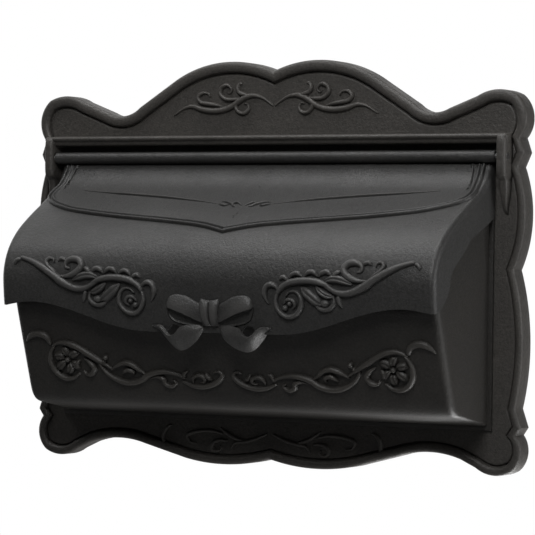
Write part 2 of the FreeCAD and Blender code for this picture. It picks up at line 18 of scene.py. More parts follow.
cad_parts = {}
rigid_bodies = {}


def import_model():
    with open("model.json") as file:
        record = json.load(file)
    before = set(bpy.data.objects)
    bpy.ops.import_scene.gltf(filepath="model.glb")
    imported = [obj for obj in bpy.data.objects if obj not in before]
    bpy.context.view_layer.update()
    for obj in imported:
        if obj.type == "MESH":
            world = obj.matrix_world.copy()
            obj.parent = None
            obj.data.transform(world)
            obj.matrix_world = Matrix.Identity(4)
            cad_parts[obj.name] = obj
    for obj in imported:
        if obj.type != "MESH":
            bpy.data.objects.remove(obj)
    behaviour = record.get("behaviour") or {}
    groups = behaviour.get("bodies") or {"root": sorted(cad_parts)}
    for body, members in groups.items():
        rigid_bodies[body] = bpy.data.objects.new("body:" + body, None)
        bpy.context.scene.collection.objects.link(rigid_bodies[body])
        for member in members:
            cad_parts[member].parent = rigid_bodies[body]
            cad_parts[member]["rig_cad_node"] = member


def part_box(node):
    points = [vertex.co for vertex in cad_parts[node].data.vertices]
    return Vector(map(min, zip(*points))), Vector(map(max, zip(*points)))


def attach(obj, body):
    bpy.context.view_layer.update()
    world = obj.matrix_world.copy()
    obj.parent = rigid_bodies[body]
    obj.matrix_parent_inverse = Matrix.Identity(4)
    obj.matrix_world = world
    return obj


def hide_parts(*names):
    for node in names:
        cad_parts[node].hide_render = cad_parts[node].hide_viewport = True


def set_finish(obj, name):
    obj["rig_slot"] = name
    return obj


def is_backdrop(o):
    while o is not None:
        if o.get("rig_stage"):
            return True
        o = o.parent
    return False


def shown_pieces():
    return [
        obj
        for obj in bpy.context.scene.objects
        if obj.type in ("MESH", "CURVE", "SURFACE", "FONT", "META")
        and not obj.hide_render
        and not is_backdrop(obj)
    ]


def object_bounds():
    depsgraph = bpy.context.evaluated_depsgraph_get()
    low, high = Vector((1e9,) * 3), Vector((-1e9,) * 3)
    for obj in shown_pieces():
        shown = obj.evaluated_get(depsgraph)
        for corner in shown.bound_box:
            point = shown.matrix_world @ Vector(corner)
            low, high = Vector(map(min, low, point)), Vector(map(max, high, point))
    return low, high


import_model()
cad_low, cad_high = (np.array(corner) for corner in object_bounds())
MM = 0.001
print("frame box", [round(v / MM, 1) for v in (*cad_low, *cad_high)])

# %% [markdown]
# The castings are drawn in millimetres and turned into metres when they become meshes.
# The hinge line, the screws and the box that nothing may leave are read from the frame.
# X runs along the wall, Z is up, and the room is at -Y. The letter box and the lid both
# narrow a little towards the room, so that they would draw out of their moulds.

# %% Main places, in millimetres
def span(node):
    """Lowest and highest corner of a CAD node, in millimetres."""
    return tuple(np.array(corner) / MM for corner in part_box(node))


pin_low, pin_high = span("hinge_pin_right")
hinge_y, hinge_z = (pin_low + pin_high)[1:] / 2
FACE, KEEP_IN = -13.0, 0.06
KEEP_LOW = cad_low / MM + KEEP_IN
KEEP_HIGH = cad_high / MM - [KEEP_IN, 0, KEEP_IN]
BOX_FRONT_HALF, LID_FRONT_HALF = 174.0, 177.8
DRAFT, NOSE = 4.0, 110.0
WALL_HOLES = [(sx * 140.0, sz * 60.0) for sx in (1, -1) for sz in (1, -1)]
BOX_SCREWS = [
    tuple(sum(span(f"box_screw_{place}_{side}"))[[0, 2]] / 2)
    for place in ("top", "low", "foot")
    for side in ("right", "left")
]


def drafted(front_half, y):
    """Half a casting's width at y: front_half + DRAFT * (NOSE + y) / NOSE."""
    return front_half + DRAFT * (NOSE + y) / NOSE


print("hinge line at", round(hinge_y, 2), round(hinge_z, 2), "screws", len(BOX_SCREWS))

# %% [markdown]
# Almost every casting surface is a grid: rows along one direction, columns along the
# other. Two helpers carry the lesson. One lists the four-cornered faces of a grid, the
# other turns points and faces into a smooth-shaded object, welds its poles and seams,
# and hands it to a body of the frame.

# %% Grid and mesh helpers
def grid_faces(rows, cols, wrap=False):
    """Quads of a rows x cols grid of points; wrap joins the last column to the first."""
    r = np.arange(rows - 1)[:, None]
    c = np.arange(cols if wrap else cols - 1)[None, :]
    right = (c + 1) % cols
    quads = np.stack([r * cols + c, r * cols + right,
                      (r + 1) * cols + right, (r + 1) * cols + c], -1)
    return quads.reshape(-1, 4)


def join(parts):
    """Stacks (points, faces, crest) parts into one, moving each part's face numbers up."""
    counts = np.cumsum([0] + [len(p[0]) for p in parts[:-1]])
    points = np.vstack([p[0] for p in parts])
    faces = [row for p, n in zip(parts, counts) for row in (np.asarray(p[1]) + n).tolist()]
    crest = np.concatenate([p[2] for p in parts])
    return points, faces, crest


def mirrored(part):
    """The same part on the other side of X = 0, with its faces turned to stay outward."""
    points, faces, crest = part
    return points * [-1, 1, 1], np.asarray(faces)[:, ::-1], crest


def grid(points, wrap=False, crest=None):
    """A rows x cols grid of points as a part, with crests (lightened by polish and a painted
    highlight) only where given.
    """
    flat = points.reshape(-1, 3)
    crest = np.zeros(len(flat)) if crest is None else crest.ravel()
    return flat, grid_faces(*points.shape[:2], wrap), crest


def shut_ends(rows):
    """A grid with one more row at each end, drawn together at its middle, to close it."""
    ends = np.broadcast_to(rows[[0, -1]].mean(1, keepdims=True), (2, *rows.shape[1:]))
    return np.concatenate([ends[:1], rows, ends[1:]])


def face_out(mesh, inside):
    """Turns an open sheet over if its faces look, on the whole, at a point inside it."""
    count = len(mesh.polygons)
    normal, centre, area = np.empty(3 * count), np.empty(3 * count), np.empty(count)
    mesh.polygons.foreach_get("normal", normal)
    mesh.polygons.foreach_get("center", centre)
    mesh.polygons.foreach_get("area", area)
    outward = centre.reshape(-1, 3) - np.array(inside) * MM
    if ((normal.reshape(-1, 3) * outward).sum(1) * area).sum() < 0:
        mesh.flip_normals()


PLATE = ("letter_box", "back_plate_coat")
BOX = ("letter_box", "box_body_coat")
LID = ("lid", "lid_coat")
WELD = 0.002


def make_piece(name, part, home, sharp=40.0, inside=None):
    """Puts a part, in millimetres, into a mesh in metres; home is its body and its slot.
    The points are first held inside the frame's box."""
    points, faces, crest = part
    body, slot = home
    points = np.clip(points, KEEP_LOW, KEEP_HIGH)
    mesh = bpy.data.meshes.new(name)
    mesh.from_pydata((points * MM).tolist(), [],
                     faces.tolist() if isinstance(faces, np.ndarray) else faces)
    mesh.attributes.new("crest", "FLOAT", "POINT").data.foreach_set(
        "value", crest.astype(np.float32))
    sheet = bmesh.new()
    sheet.from_mesh(mesh)
    bmesh.ops.remove_doubles(sheet, verts=sheet.verts, dist=WELD * MM)
    bmesh.ops.dissolve_degenerate(sheet, edges=sheet.edges, dist=WELD * MM * 0.5)
    bmesh.ops.recalc_face_normals(sheet, faces=sheet.faces)
    sheet.to_mesh(mesh)
    sheet.free()
    if inside is not None:
        face_out(mesh, inside)
    mesh.polygons.foreach_set("use_smooth", np.ones(len(mesh.polygons), bool))
    mesh.set_sharp_from_angle(angle=math.radians(sharp))
    piece = bpy.data.objects.new(name, mesh)
    bpy.context.scene.collection.objects.link(piece)
    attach(piece, body)
    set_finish(piece, slot)
    print(name, len(mesh.vertices), "points", len(mesh.polygons), "faces")
    return piece


def make_pair(name, part, home, **more):
    """A right-hand part and its mirror image, made into two pieces."""
    return [make_piece(f"{name}_{side}", half, home, **more)
            for side, half in (("right", part), ("left", mirrored(part)))]


def thicken(piece, wall, round_over, steps=2, angle=50.0):
    """Gives a sheet its wall, inward, and rounds the edges that the wall makes."""
    solid = piece.modifiers.new("wall", "SOLIDIFY")
    solid.thickness, solid.offset = wall * MM, -1.0
    bevel = piece.modifiers.new("rounding", "BEVEL")
    bevel.width, bevel.segments = round_over * MM, steps
    bevel.limit_method, bevel.angle_limit = "ANGLE", math.radians(angle)
    bevel.use_clamp_overlap, bevel.harden_normals = True, True


def step_lengths(line):
    """Lengths of the steps between a line's points."""
    return np.linalg.norm(np.diff(line, axis=0), axis=1)


def runs_along(line):
    """Length along a line at each of its points, from 0 at the first."""
    return np.concatenate([[0], np.cumsum(step_lengths(line))])


def directions(line):
    """Unit directions along a line, one for each of its points."""
    way = np.gradient(line, axis=0)
    return way / np.linalg.norm(way, axis=1)[:, None]


def along(points, count):
    """A smooth line through points (each stretch a cubic whose slope at a point is half
    the step between its neighbours), sampled at count places an equal length apart."""
    p = np.asarray(points, float)
    p = np.vstack([2 * p[0] - p[1], p, 2 * p[-1] - p[-2]])
    a, b, c, d = p[:-3], p[1:-2], p[2:-1], p[3:]
    t = np.linspace(0, 1, 24, endpoint=False)[:, None, None]
    line = 0.5 * (2 * b + (c - a) * t + (2 * a - 5 * b + 4 * c - d) * t ** 2
                  + (3 * b - a - 3 * c + d) * t ** 3)
    line = np.vstack([line.transpose(1, 0, 2).reshape(-1, p.shape[1]), p[-2]])
    run = runs_along(line)
    at = np.linspace(0, run[-1], count)
    return np.stack([np.interp(at, run, column) for column in line.T], -1)


def ease(x):
    """0 below 0, 1 above 1, and a smooth S between."""
    x = np.clip(x, 0, 1)
    return x * x * (3 - 2 * x)


print("helpers ready")

# %% [markdown]
# ## The wall plate's outline
# The plate is a flat casting with a wavy outline: two shallow waves at the top that meet
# in a cusp, four round shoulders and small notched points on the sides. It could be a
# traced curve, but arcs and straight lines between a few named points give the same
# outline at any inset, which the raised rim needs. Each arc goes through a middle point.

# %% Outline from arcs and lines
TOP_CUSP, OUTLINE_STEP = (0.0, 147.0), 1.8
STRETCHES = [
    ((36, 154.5), (84, 141.5)), (None, (116, 121)), ((131, 114.5), (144, 117.5)),
    (None, (166, 126)), ((184, 130.5), (197, 127)), ((205, 112.5), (200, 95.5)),
    (None, (203.6, 85)), (None, (199, 74.5)), ((205, 40), (196.7, 0.5)),
    ((204, -45), (199, -99)), (None, (203.6, -112.5)), (None, (200, -118)),
    ((203.6, -132), (197, -144)), ((184, -147.6), (168, -142.4)), (None, (156, -136.8)),
    ((131, -132.6), (108, -136)), (None, (72, -145.6)), ((36, -149), (0, -143.5)),
]


def arc_through(start, middle, end, count):
    """Points on the circle through three points: its centre is where the bisectors of
    the two chords meet, and the angle runs from start to end past the middle."""
    a, b, c = (np.asarray(p, float) for p in (start, middle, end))
    lhs = 2 * np.array([b - a, c - a])
    centre = np.linalg.solve(lhs, [b @ b - a @ a, c @ c - a @ a])
    turn = np.unwrap([math.atan2(*(p - centre)[::-1]) for p in (a, b, c)])
    angle = np.linspace(turn[0], turn[2], count)
    reach = np.linalg.norm(a - centre)
    ring = centre + reach * np.stack([np.cos(angle), np.sin(angle)], -1)
    return ring, np.sign(turn[2] - turn[0]) * np.stack([-np.sin(angle), np.cos(angle)], -1)


def stretch(start, middle, end, count):
    """Points and unit directions along one stretch, an arc or a straight line."""
    if middle is not None:
        return arc_through(start, middle, end, count)
    a, b = np.asarray(start, float), np.asarray(end, float)
    way = (b - a) / np.linalg.norm(b - a)
    return a + np.linspace(0, 1, count)[:, None] * (b - a), np.tile(way, (count, 1))


def inward(way):
    """The unit normal to the right of a line: inside it, where it runs clockwise."""
    return np.stack([way[..., 1], -way[..., 0]], -1)


def rim_share(point):
    """How much wider the rim is there: wide along the top, a little along the bottom."""
    z = point[..., 1]
    return 1 + 0.42 * ease((z - 96) / 20) + 0.12 * ease((-z - 105) / 20)


corners = [np.array(TOP_CUSP)] + [np.array(end, float) for _, end in STRETCHES]
runs = [stretch(a, m, b, 9) for a, (m, b) in zip(corners, STRETCHES)]
before = [inward(runs[0][1][0]) * [-1, 1]] + [inward(w[-1]) for _, w in runs]
after = [inward(w[0]) for _, w in runs] + [inward(runs[-1][1][-1]) * [-1, 1]]
mitres = [(n + m) / (1 + n @ m) for n, m in zip(before, after)]
counts = [max(4, int(step_lengths(p).sum() / OUTLINE_STEP)) for p, _ in runs]


def outline(inset):
    """The closed outline moved inward: corners along their mitres, arc middles along
    their normals, and every stretch drawn again between them."""
    at = [p + inset * rim_share(p) * m for p, m in zip(corners, mitres)]
    half = []
    for (middle, _), (_, way), start, end, count in zip(STRETCHES, runs, at, at[1:], counts):
        if middle is not None:
            middle = np.array(middle, float)
            middle = middle + inset * rim_share(middle) * inward(way[4])
        half.append(stretch(start, middle, end, count)[0][:-1])
    half = np.vstack(half + [at[-1][None]])
    return np.vstack([half, half[-2:0:-1] * [-1, 1]])


print("outline points", len(outline(0)))

# %% [markdown]
# ## The plate's body
# The real plate is a hollow casting: a skirt that stands on the wall, a round bead along
# the edge, a thin groove inside the bead and a flat web with bosses behind its holes.
# A bevelled cut-out would lose the bead. Here the edge section is a list of (inset,
# depth) steps, and each step is one inset outline, so the grid is the section carried
# round the outline. The flat web is filled between the last ring and the holes.

# %% Plate grid, holes and bosses
bead = along([(0, 12.6), (0.12, 13.9), (0.7, 15.1), (1.7, 15.8), (3.0, 16.0), (4.2, 15.85),
              (5.1, 15.3), (5.65, 14.3), (5.85, 13.0), (5.95, 12.0)], 19)
EDGE_SECTION = np.vstack([
    [(4.0, 9.5), (4.0, 0.6), (3.5, 0.0), (0.6, 0.0), (0.0, 0.6), (0.0, 6.0)],
    bead, [(6.15, 11.5), (6.5, 11.4), (6.8, 11.7), (6.95, 12.5), (7.3, 12.95), (7.8, 13.0),
           (8.6, 13.0)]])


def ring_of(points, depth):
    """An outline in the wall's plane as points at one depth."""
    return np.stack([points[:, 0], np.full(len(points), -float(depth)), points[:, 1]], -1)


def circle(centre, radius, count=40):
    """Points round a circle in the wall's plane."""
    angle = np.linspace(0, 2 * np.pi, count, endpoint=False)
    return np.asarray(centre) + radius * np.stack([np.cos(angle), np.sin(angle)], -1)


def tube(centre, steps, count=40):
    """A round wall through a list of (radius, depth) steps."""
    return grid(np.stack([ring_of(circle(centre, r, count), d) for r, d in steps]), wrap=True)


def filled(outer, holes, depth):
    """Flat triangles between an outline and its holes, at one depth."""
    loops = [outer, *holes]
    chains = [[Vector((x, z, 0)) for x, z in loop] for loop in loops]
    points = ring_of(np.vstack(loops), depth)
    return points, np.array(tessellate_polygon(chains)), np.zeros(len(points))


rings = [outline(inset) for inset, _ in EDGE_SECTION]
skin = grid(np.stack([ring_of(r, d) for r, (_, d) in zip(rings, EDGE_SECTION)]), wrap=True)
HOLE, BOSS, SCREW_HOLE, WEB_BACK = 3.25, 8.0, 2.75, 9.5
CHAMFER, BOSS_CHAMFER = 0.4, 0.5
wall_tubes = [tube(c, [(BOSS, WEB_BACK), (BOSS, BOSS_CHAMFER), (BOSS - BOSS_CHAMFER, 0),
                       (HOLE + CHAMFER, 0), (HOLE, CHAMFER), (HOLE, -FACE - CHAMFER),
                       (HOLE + CHAMFER, -FACE)]) for c in WALL_HOLES]
screw_tubes = [tube(c, [(SCREW_HOLE, WEB_BACK), (SCREW_HOLE, -FACE)]) for c in BOX_SCREWS]
screw_holes = [circle(c, SCREW_HOLE) for c in BOX_SCREWS]
front = filled(rings[-1], [circle(c, HOLE + CHAMFER) for c in WALL_HOLES] + screw_holes, -FACE)
back = filled(rings[0], [circle(c, BOSS) for c in WALL_HOLES] + screw_holes, WEB_BACK)
plate = make_piece("plate_casting", join([skin, front, back, *wall_tubes, *screw_tubes]), PLATE,
                   sharp=48)
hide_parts("back_plate")

# %% [markdown]
# ## The ledge and the two ears
# A moulding runs along the plate above the lid and throws rain clear of the hinge. At
# each end it turns down into an ear that holds a hinge pin. The ledge is one section
# carried along X, with its end sections shrunk to a line so that the ends close. The
# ears are bars that follow the moulding's nose down the plate: at each height the
# section is a rounded square on the plate, and it narrows towards the foot.

# %% Ledge and ears
def extrude_x(section, stations):
    """A closed (y, z) section repeated at stations of (x, scale about the middle)."""
    section = np.asarray(section, float)
    middle = section.mean(0)
    rows = [np.column_stack([np.full(len(section), x), middle + (section - middle) * k])
            for x, k in stations]
    return grid(np.stack(rows), wrap=True)


LEDGE = [(-12.4, 99.3), (-14.2, 98.9), (-18, 98.6), (-22, 98.5), (-24.4, 98.3), (-25.6, 97.6),
         (-26, 96.6), (-25.7, 95.5), (-24.9, 94.8), (-24.1, 94.3), (-23.9, 93.2),
         (-23.4, 91.9), (-22.3, 91.2), (-18, 91), (-12.4, 90.8)]
LEDGE_END = [(194, 0), (194, 0.86), (193.4, 0.97), (192.4, 1)]
ledge_stations = [(-x, k) for x, k in LEDGE_END] + LEDGE_END[::-1]
make_piece("plate_ledge", extrude_x(LEDGE, ledge_stations), PLATE, sharp=60)

EAR_NOSE = along([(-20.0, 98.6), (-24.4, 98.0), (-26.6, 96.2), (-27.5, 92.5), (-27.6, 86),
                  (-27.6, 78), (-27.3, 72), (-26.4, 68.8), (-24.4, 66.8), (-22.6, 65.2),
                  (-22.0, 62), (-21.2, 56), (-19.6, 50), (-17.2, 44.6), (-14.6, 41.4),
                  (-12.9, 40.4)], 72)
EAR_MIDDLE, EAR_ROOT, SQUARENESS = 190.0, -12.4, 0.4
ear_turn = np.linspace(0, np.pi, 30)
nose_y, nose_z = EAR_NOSE.T
ear_half = 4.0 - 0.7 * ease((67.5 - nose_z) / 2.5) - 2.2 * ease((60 - nose_z) / 20)
side_x = np.sign(np.cos(ear_turn)) * np.abs(np.cos(ear_turn)) ** SQUARENESS
reach_y = np.abs(np.sin(ear_turn)) ** SQUARENESS
ear_x = EAR_MIDDLE + ear_half[:, None] * side_x
ear_y = EAR_ROOT + (nose_y - EAR_ROOT)[:, None] * reach_y
ear_rows = np.stack([ear_x, ear_y, np.broadcast_to(nose_z[:, None], ear_x.shape)], -1)
make_pair("plate_ear", grid(shut_ends(ear_rows), wrap=True), PLATE, sharp=62)

# %% [markdown]
# ## The lid's shell
# The lid is one curved sheet: it falls from the hinge in a long hollow curve, rolls over
# a round brow and drops to a scalloped lip, and two cheeks close its ends. A cut and
# bent plane would crease at the corners. Here the rows follow the side profile by length
# and the columns run from one cheek's lower edge, round the corner, across the top and
# down the other cheek. The last row stops where the lip's wave says.

# %% Lid profile, lip and widths
CORNER_RADIUS, MOST_PAST = 4.0, 3.9
PROFILE = along([(-19, 79), (-21.5, 73), (-26, 66), (-31, 60.8), (-38, 56), (-54, 47.2),
                 (-70, 38.6), (-86, 28.8), (-96, 20.5), (-103.5, 11.5), (-108, 2),
                 (-110, -8), (-109.3, -20), (-107.6, -32), (-104.6, -47.5)], 700)
PROFILE_LENGTH = step_lengths(PROFILE).sum()
profile_s = np.linspace(0, PROFILE_LENGTH, len(PROFILE))
PROFILE_OUT = inward(directions(PROFILE))


def side_point(s):
    """The (y, z) point of the lid's profile at a length s from the hinge, and the
    outward unit normal there."""
    pick = [np.interp(s, profile_s, column) for column in (*PROFILE.T, *PROFILE_OUT.T)]
    return np.stack(pick[:2], -1), np.stack(pick[2:], -1)


LIP_MIDDLE, LIP_SWING = -37.5, 10.0
WAVE_FROM, WAVE_TO, CORNER_RUN, CORNER_FALL = 54.0, 154.0, 24.0, 3.8
EYELET_X, EYELET_WIDE, EYELET_RISE = 30.5, 5.5, 5.6


def lip_height(x):
    """Height of the lip: level behind the bow but for an eyelet over each tail, a cosine
    wave up to a crest near each end, and a short fall to the corner."""
    x = np.abs(x)
    share = np.clip((x - WAVE_FROM) / (WAVE_TO - WAVE_FROM), 0, 1)
    eyelet = EYELET_RISE * np.exp(-((x - EYELET_X) / EYELET_WIDE) ** 4)
    fall = CORNER_FALL * np.clip((x - WAVE_TO) / CORNER_RUN, 0, 2) ** 1.5
    return LIP_MIDDLE - LIP_SWING * np.cos(np.pi * share) + eyelet - fall


def lid_half(y):
    """Half the lid's outer width."""
    return drafted(LID_FRONT_HALF, y)


def on_lid(x, s, lift):
    """A point on the lid, at x across it and s along it, raised by lift. Past the start
    of the rounded corner the surface drops by r - sqrt(r^2 - d^2)."""
    point, out = side_point(s)
    past = np.clip(np.abs(x) - (lid_half(point[..., 0]) - CORNER_RADIUS), 0, MOST_PAST)
    drop = CORNER_RADIUS - np.sqrt(CORNER_RADIUS ** 2 - past ** 2)
    point = point + out * (lift - drop)[..., None]
    return np.stack([np.broadcast_to(x, point.shape[:-1]), point[..., 0], point[..., 1]], -1)


print("profile length", round(PROFILE_LENGTH, 1), "lip", lip_height(np.array([0, 54, 154, 178])))

# %% Lid grid
def z_to_s(z):
    """Length along the lid's profile where its brow or front is at height z."""
    return np.interp(-z, -PROFILE[FALLING:, 1], profile_s[FALLING:])


ROWS, ACROSS, CHEEK, CORNER, FALLING = 110, 170, 26, 7, 300
EVEN, LID_END_Y = 0.65, -100.0
t = np.linspace(0, 1, ROWS)[:, None]
even = np.linspace(-1, 1, ACROSS)
share = np.sin(even * np.pi / 2) * (1 - EVEN) + even * EVEN
flat_x = share[None, :] * (lid_half(LID_END_Y) - CORNER_RADIUS)
end_s = z_to_s(lip_height(flat_x))
top_s = t * end_s
top_y = side_point(top_s)[0][..., 0]
top_x = share[None, :] * (lid_half(top_y) - CORNER_RADIUS)
top = on_lid(top_x, top_s, np.zeros_like(top_s))
edge_point, edge_out = side_point(top_s[:, -1])
inner = edge_point - CORNER_RADIUS * edge_out
half = lid_half(edge_point[:, 0])
CHEEK_EDGE = along([(-15, 38), (-27, 32.6), (-41, 26.7), (-53, 21.6), (-61, 14.5), (-73, 6),
                    (-83, -3), (-86, -13.6), (-92, -21.6), (-98.6, -26.6),
                    tuple(inner[-1])], ROWS)
angle = np.linspace(0, np.pi / 2, CORNER)[None, 1:-1, None]
round_yz = inner[:, None] + CORNER_RADIUS * edge_out[:, None] * np.sin(angle)
round_x = (half - CORNER_RADIUS)[:, None] + CORNER_RADIUS * np.cos(angle[..., 0])
corner = np.concatenate([round_x[..., None], round_yz], -1)
k = np.linspace(0, 1, CHEEK)[None, :, None]
cheek_yz = CHEEK_EDGE[:, None] * (1 - k) + inner[:, None] * k
cheek_x = np.broadcast_to(lid_half(cheek_yz[..., :1]), cheek_yz[..., :1].shape)
cheek = np.concatenate([cheek_x, cheek_yz], -1)
right = np.concatenate([cheek, corner], 1)
left = right * [-1, 1, 1]
sheet_rows = np.concatenate([left, top, right[:, ::-1]], 1)
lid = make_piece("lid_shell", grid(sheet_rows), LID, sharp=60, inside=(0, -30, -40))
thicken(lid, 3.0, 0.7)
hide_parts("lid")

# %% [markdown]
# The lid hangs on a barrel that is cast with it. The barrel is a round bar along the
# hinge line with a bore at each end for the pin, so it is a radius that changes with X,
# turned about the hinge line, and closed on that line inside the bores.

# %% Lid barrel
BARREL_END = [(0, 167.0), (2.55, 167.0), (2.55, 184.4), (2.9, 184.8), (4.0, 184.8),
              (4.4, 184.4)]
BARREL = [(r, -x) for r, x in BARREL_END] + BARREL_END[::-1]
SPIN_COLS = 48
spin = np.linspace(0, 2 * np.pi, SPIN_COLS, endpoint=False)
barrel_rows = np.stack([np.stack([np.full(SPIN_COLS, x), hinge_y + r * np.cos(spin),
                                  hinge_z + r * np.sin(spin)], -1) for r, x in BARREL])
make_piece("lid_barrel", grid(barrel_rows, wrap=True), LID)

# %% [markdown]
# ## The letter box
# The box is a deep tray behind the lid. Its front leans back towards a rounded toe and a
# sloping floor, its ends lean in, and its open top slants under the lid. Rows follow the
# front from the open edge down and under to the plate, and each row runs from the plate
# along one end, round the corner, across the front and back along the other end. The
# wall goes inward, and the edge that meets the plate gets a small flange of its own.

# %% Letter box shell
FRONT = np.vstack([
    along([(-97, -12), (-97, -20), (-97, -27.5)], 8),
    along([(-96.9, -29), (-96.3, -31.4), (-95.4, -34)], 5),
    along([(-94.6, -36.5), (-86, -60.5), (-76.4, -87)], 24),
    along([(-75.2, -90.4), (-73.2, -95.2), (-70.6, -99.2), (-67, -102.2), (-63, -103.8),
           (-58.8, -104.6)], 16),
    along([(-56, -104.9), (-36, -108.5), (-13, -112.5)], 14)])
BOX_ROWS = len(FRONT)
run = runs_along(FRONT)
back_z = np.interp(run / run[-1], [0, 0.12, 0.55, 0.72, 1], [62, 40, -62, -98, -112.5])
BACK = np.stack([np.full(BOX_ROWS, FACE), back_z], -1)


def box_half(y):
    """Half the box's outer width."""
    return drafted(BOX_FRONT_HALF, y)


BOX_CORNER = 5.0
END_COLS, FRONT_COLS = 22, 90
reach = np.linalg.norm(FRONT - BACK, axis=1)[:, None]
toward = (BACK - FRONT) / np.maximum(reach, 1e-6)
turn_in = np.minimum(BOX_CORNER, reach * 0.45)
k = np.linspace(0, 1, END_COLS)[None, :, None]
stop = FRONT + toward * turn_in
end_yz = BACK[:, None] * (1 - k) + stop[:, None] * k
end_x = box_half(end_yz[..., :1])
angle = np.linspace(0, np.pi / 2, 8)[None, 1:, None]
bend_yz = FRONT[:, None] + (toward * turn_in)[:, None] * (1 - np.sin(angle))
bend_x = box_half(FRONT[:, :1])[:, None] - turn_in[:, None] * (1 - np.cos(angle))
side = np.concatenate([np.concatenate([end_x, end_yz], -1),
                       np.concatenate([bend_x, bend_yz], -1)], 1)
inner_half = side[:, -1, 0]
front_x = np.linspace(-1, 1, FRONT_COLS + 2)[None, 1:-1] * inner_half[:, None]
front_yz = np.broadcast_to(FRONT[:, None], (BOX_ROWS, FRONT_COLS, 2))
across = np.concatenate([front_x[..., None], front_yz], -1)
tray = np.concatenate([side * [-1, 1, 1], across, side[:, ::-1]], 1)
box = make_piece("letter_box_shell", grid(tray), BOX, sharp=60, inside=(0, -30, 0))
thicken(box, 3.5, 0.6)
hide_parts("box_body")

# %% Flange and screw bosses
SIDE_X, FLANGE_TOP, FLANGE_FOOT = box_half(FACE), 61.5, -112.3
flange_path = np.array([(SIDE_X, FLANGE_TOP), (SIDE_X, FLANGE_FOOT),
                        (-SIDE_X, FLANGE_FOOT), (-SIDE_X, FLANGE_TOP)])
flange_out = np.array([(1, 0), (1, -1), (-1, -1), (-1, 0)])
FLANGE = [(-1.0, 12.9), (3.0, 12.9), (3.0, 14.8), (2.6, 15.6), (1.6, 16.0), (-1.0, 16.0)]
flange_rings = np.stack([ring_of(flange_path + reach_out * flange_out, d)
                         for reach_out, d in FLANGE], 1)
make_piece("letter_box_flange", grid(shut_ends(flange_rings), wrap=True), BOX)
BOSS_SECTION = [(2.5, -FACE), (6.6, -FACE), (7.0, 13.4), (7.0, 28.2), (6.4, 29.0), (0.0, 29.0)]
make_piece("letter_box_bosses", join([tube(c, BOSS_SECTION, 32) for c in BOX_SCREWS]), BOX)

# %% [markdown]
# ## The lid's raised panel
# The upper half of the lid carries a shallow raised panel. Its lower edge sweeps from
# side to side like a drawn curtain and meets in a cusp at the middle, with a double
# bead along it. It could be a bump in the material, but then it would vanish from the
# mesh and cast no shadow. It is a thin sheet laid on the lid: rings step in from the
# border with a height for each, and the last ring runs straight up to the hinge side.

# %% Panel border and sheet
BORDER = along([(176.4, 3.2), (176.5, 10), (176.8, 18), (177.4, 26), (178.0, 33), (177.0, 41),
                (173.2, 47.2), (167, 52.6), (158, 58), (143, 64.3), (115, 70.6), (87, 75.2),
                (59, 79.2), (38, 82.4), (24, 85), (12, 88.4), (4, 91.2), (0, 92.8)], 110)
border_in = -inward(directions(BORDER))
border_in[-1] = [0, -1 / abs(border_in[-1, 1])]
STEPS = [(0.0, -0.6), (0.0, 0.5), (0.3, 1.9), (0.9, 2.6), (1.5, 2.6), (2.0, 1.9),
         (2.4, 0.8), (2.9, 0.55), (3.4, 0.8), (3.8, 1.8), (4.3, 2.4), (4.9, 2.4),
         (5.4, 1.6), (5.9, 1.15), (6.6, 1.05), (8.0, 1.05)]
PANEL_TOP, PANEL_DEPTH, TOP_SHARE = 3.2, 24, 0.985


def panel_rows(step_in):
    """The border moved inward, held on its own side of the middle line."""
    ring = BORDER + step_in * border_in
    return np.column_stack([np.maximum(ring[:, 0], 0), ring[:, 1]])


border_rows = [np.column_stack([panel_rows(d), np.full(len(BORDER), h)]) for d, h in STEPS]
last = border_rows[-1]
gather = np.linspace(0, 1, PANEL_DEPTH)[1:, None, None]
top_line = np.column_stack([last[:, 0] * TOP_SHARE, np.full(len(last), PANEL_TOP), last[:, 2]])
field_rows = last * (1 - gather) + top_line * gather
right_half = np.concatenate([np.array(border_rows), field_rows])
whole_panel = np.concatenate([right_half, (right_half * [-1, 1, 1])[:, -2::-1]], 1)
panel_points = on_lid(*np.moveaxis(whole_panel, -1, 0))
panel = make_piece("lid_panel", grid(panel_points), LID, sharp=70, inside=(0, -30, -40))
thicken(panel, 1.3, 0.05, 1, 80)

# %% [markdown]
# ## Raised strokes
# All the vines, scrolls and leaves are raised strokes of one kind: a line drawn on the
# casting, with a rounded ridge over it that swells and tapers. A curve with a round
# bevel would stand off like wire. Here a bell-shaped section with a flat sunk base is
# carried along the line, and a placing function lays it on the plate, lid or box. Each
# stroke ends in a round tip, where the section shrinks to a point.

# %% Stroke and bud
TOP_K = np.linspace(1, -1, 13)
BASE_K = np.array([-0.9, 0.0, 0.9])
SINK, STROKE_STEP, TAPER, TIP_FLOOR = 0.8, 0.8, 0.35, 0.5
KNEE_Y, KNEE_Z, FRONT_FALL, FRONT_LEAN = -97.0, -30.0, 61.0, 22.0


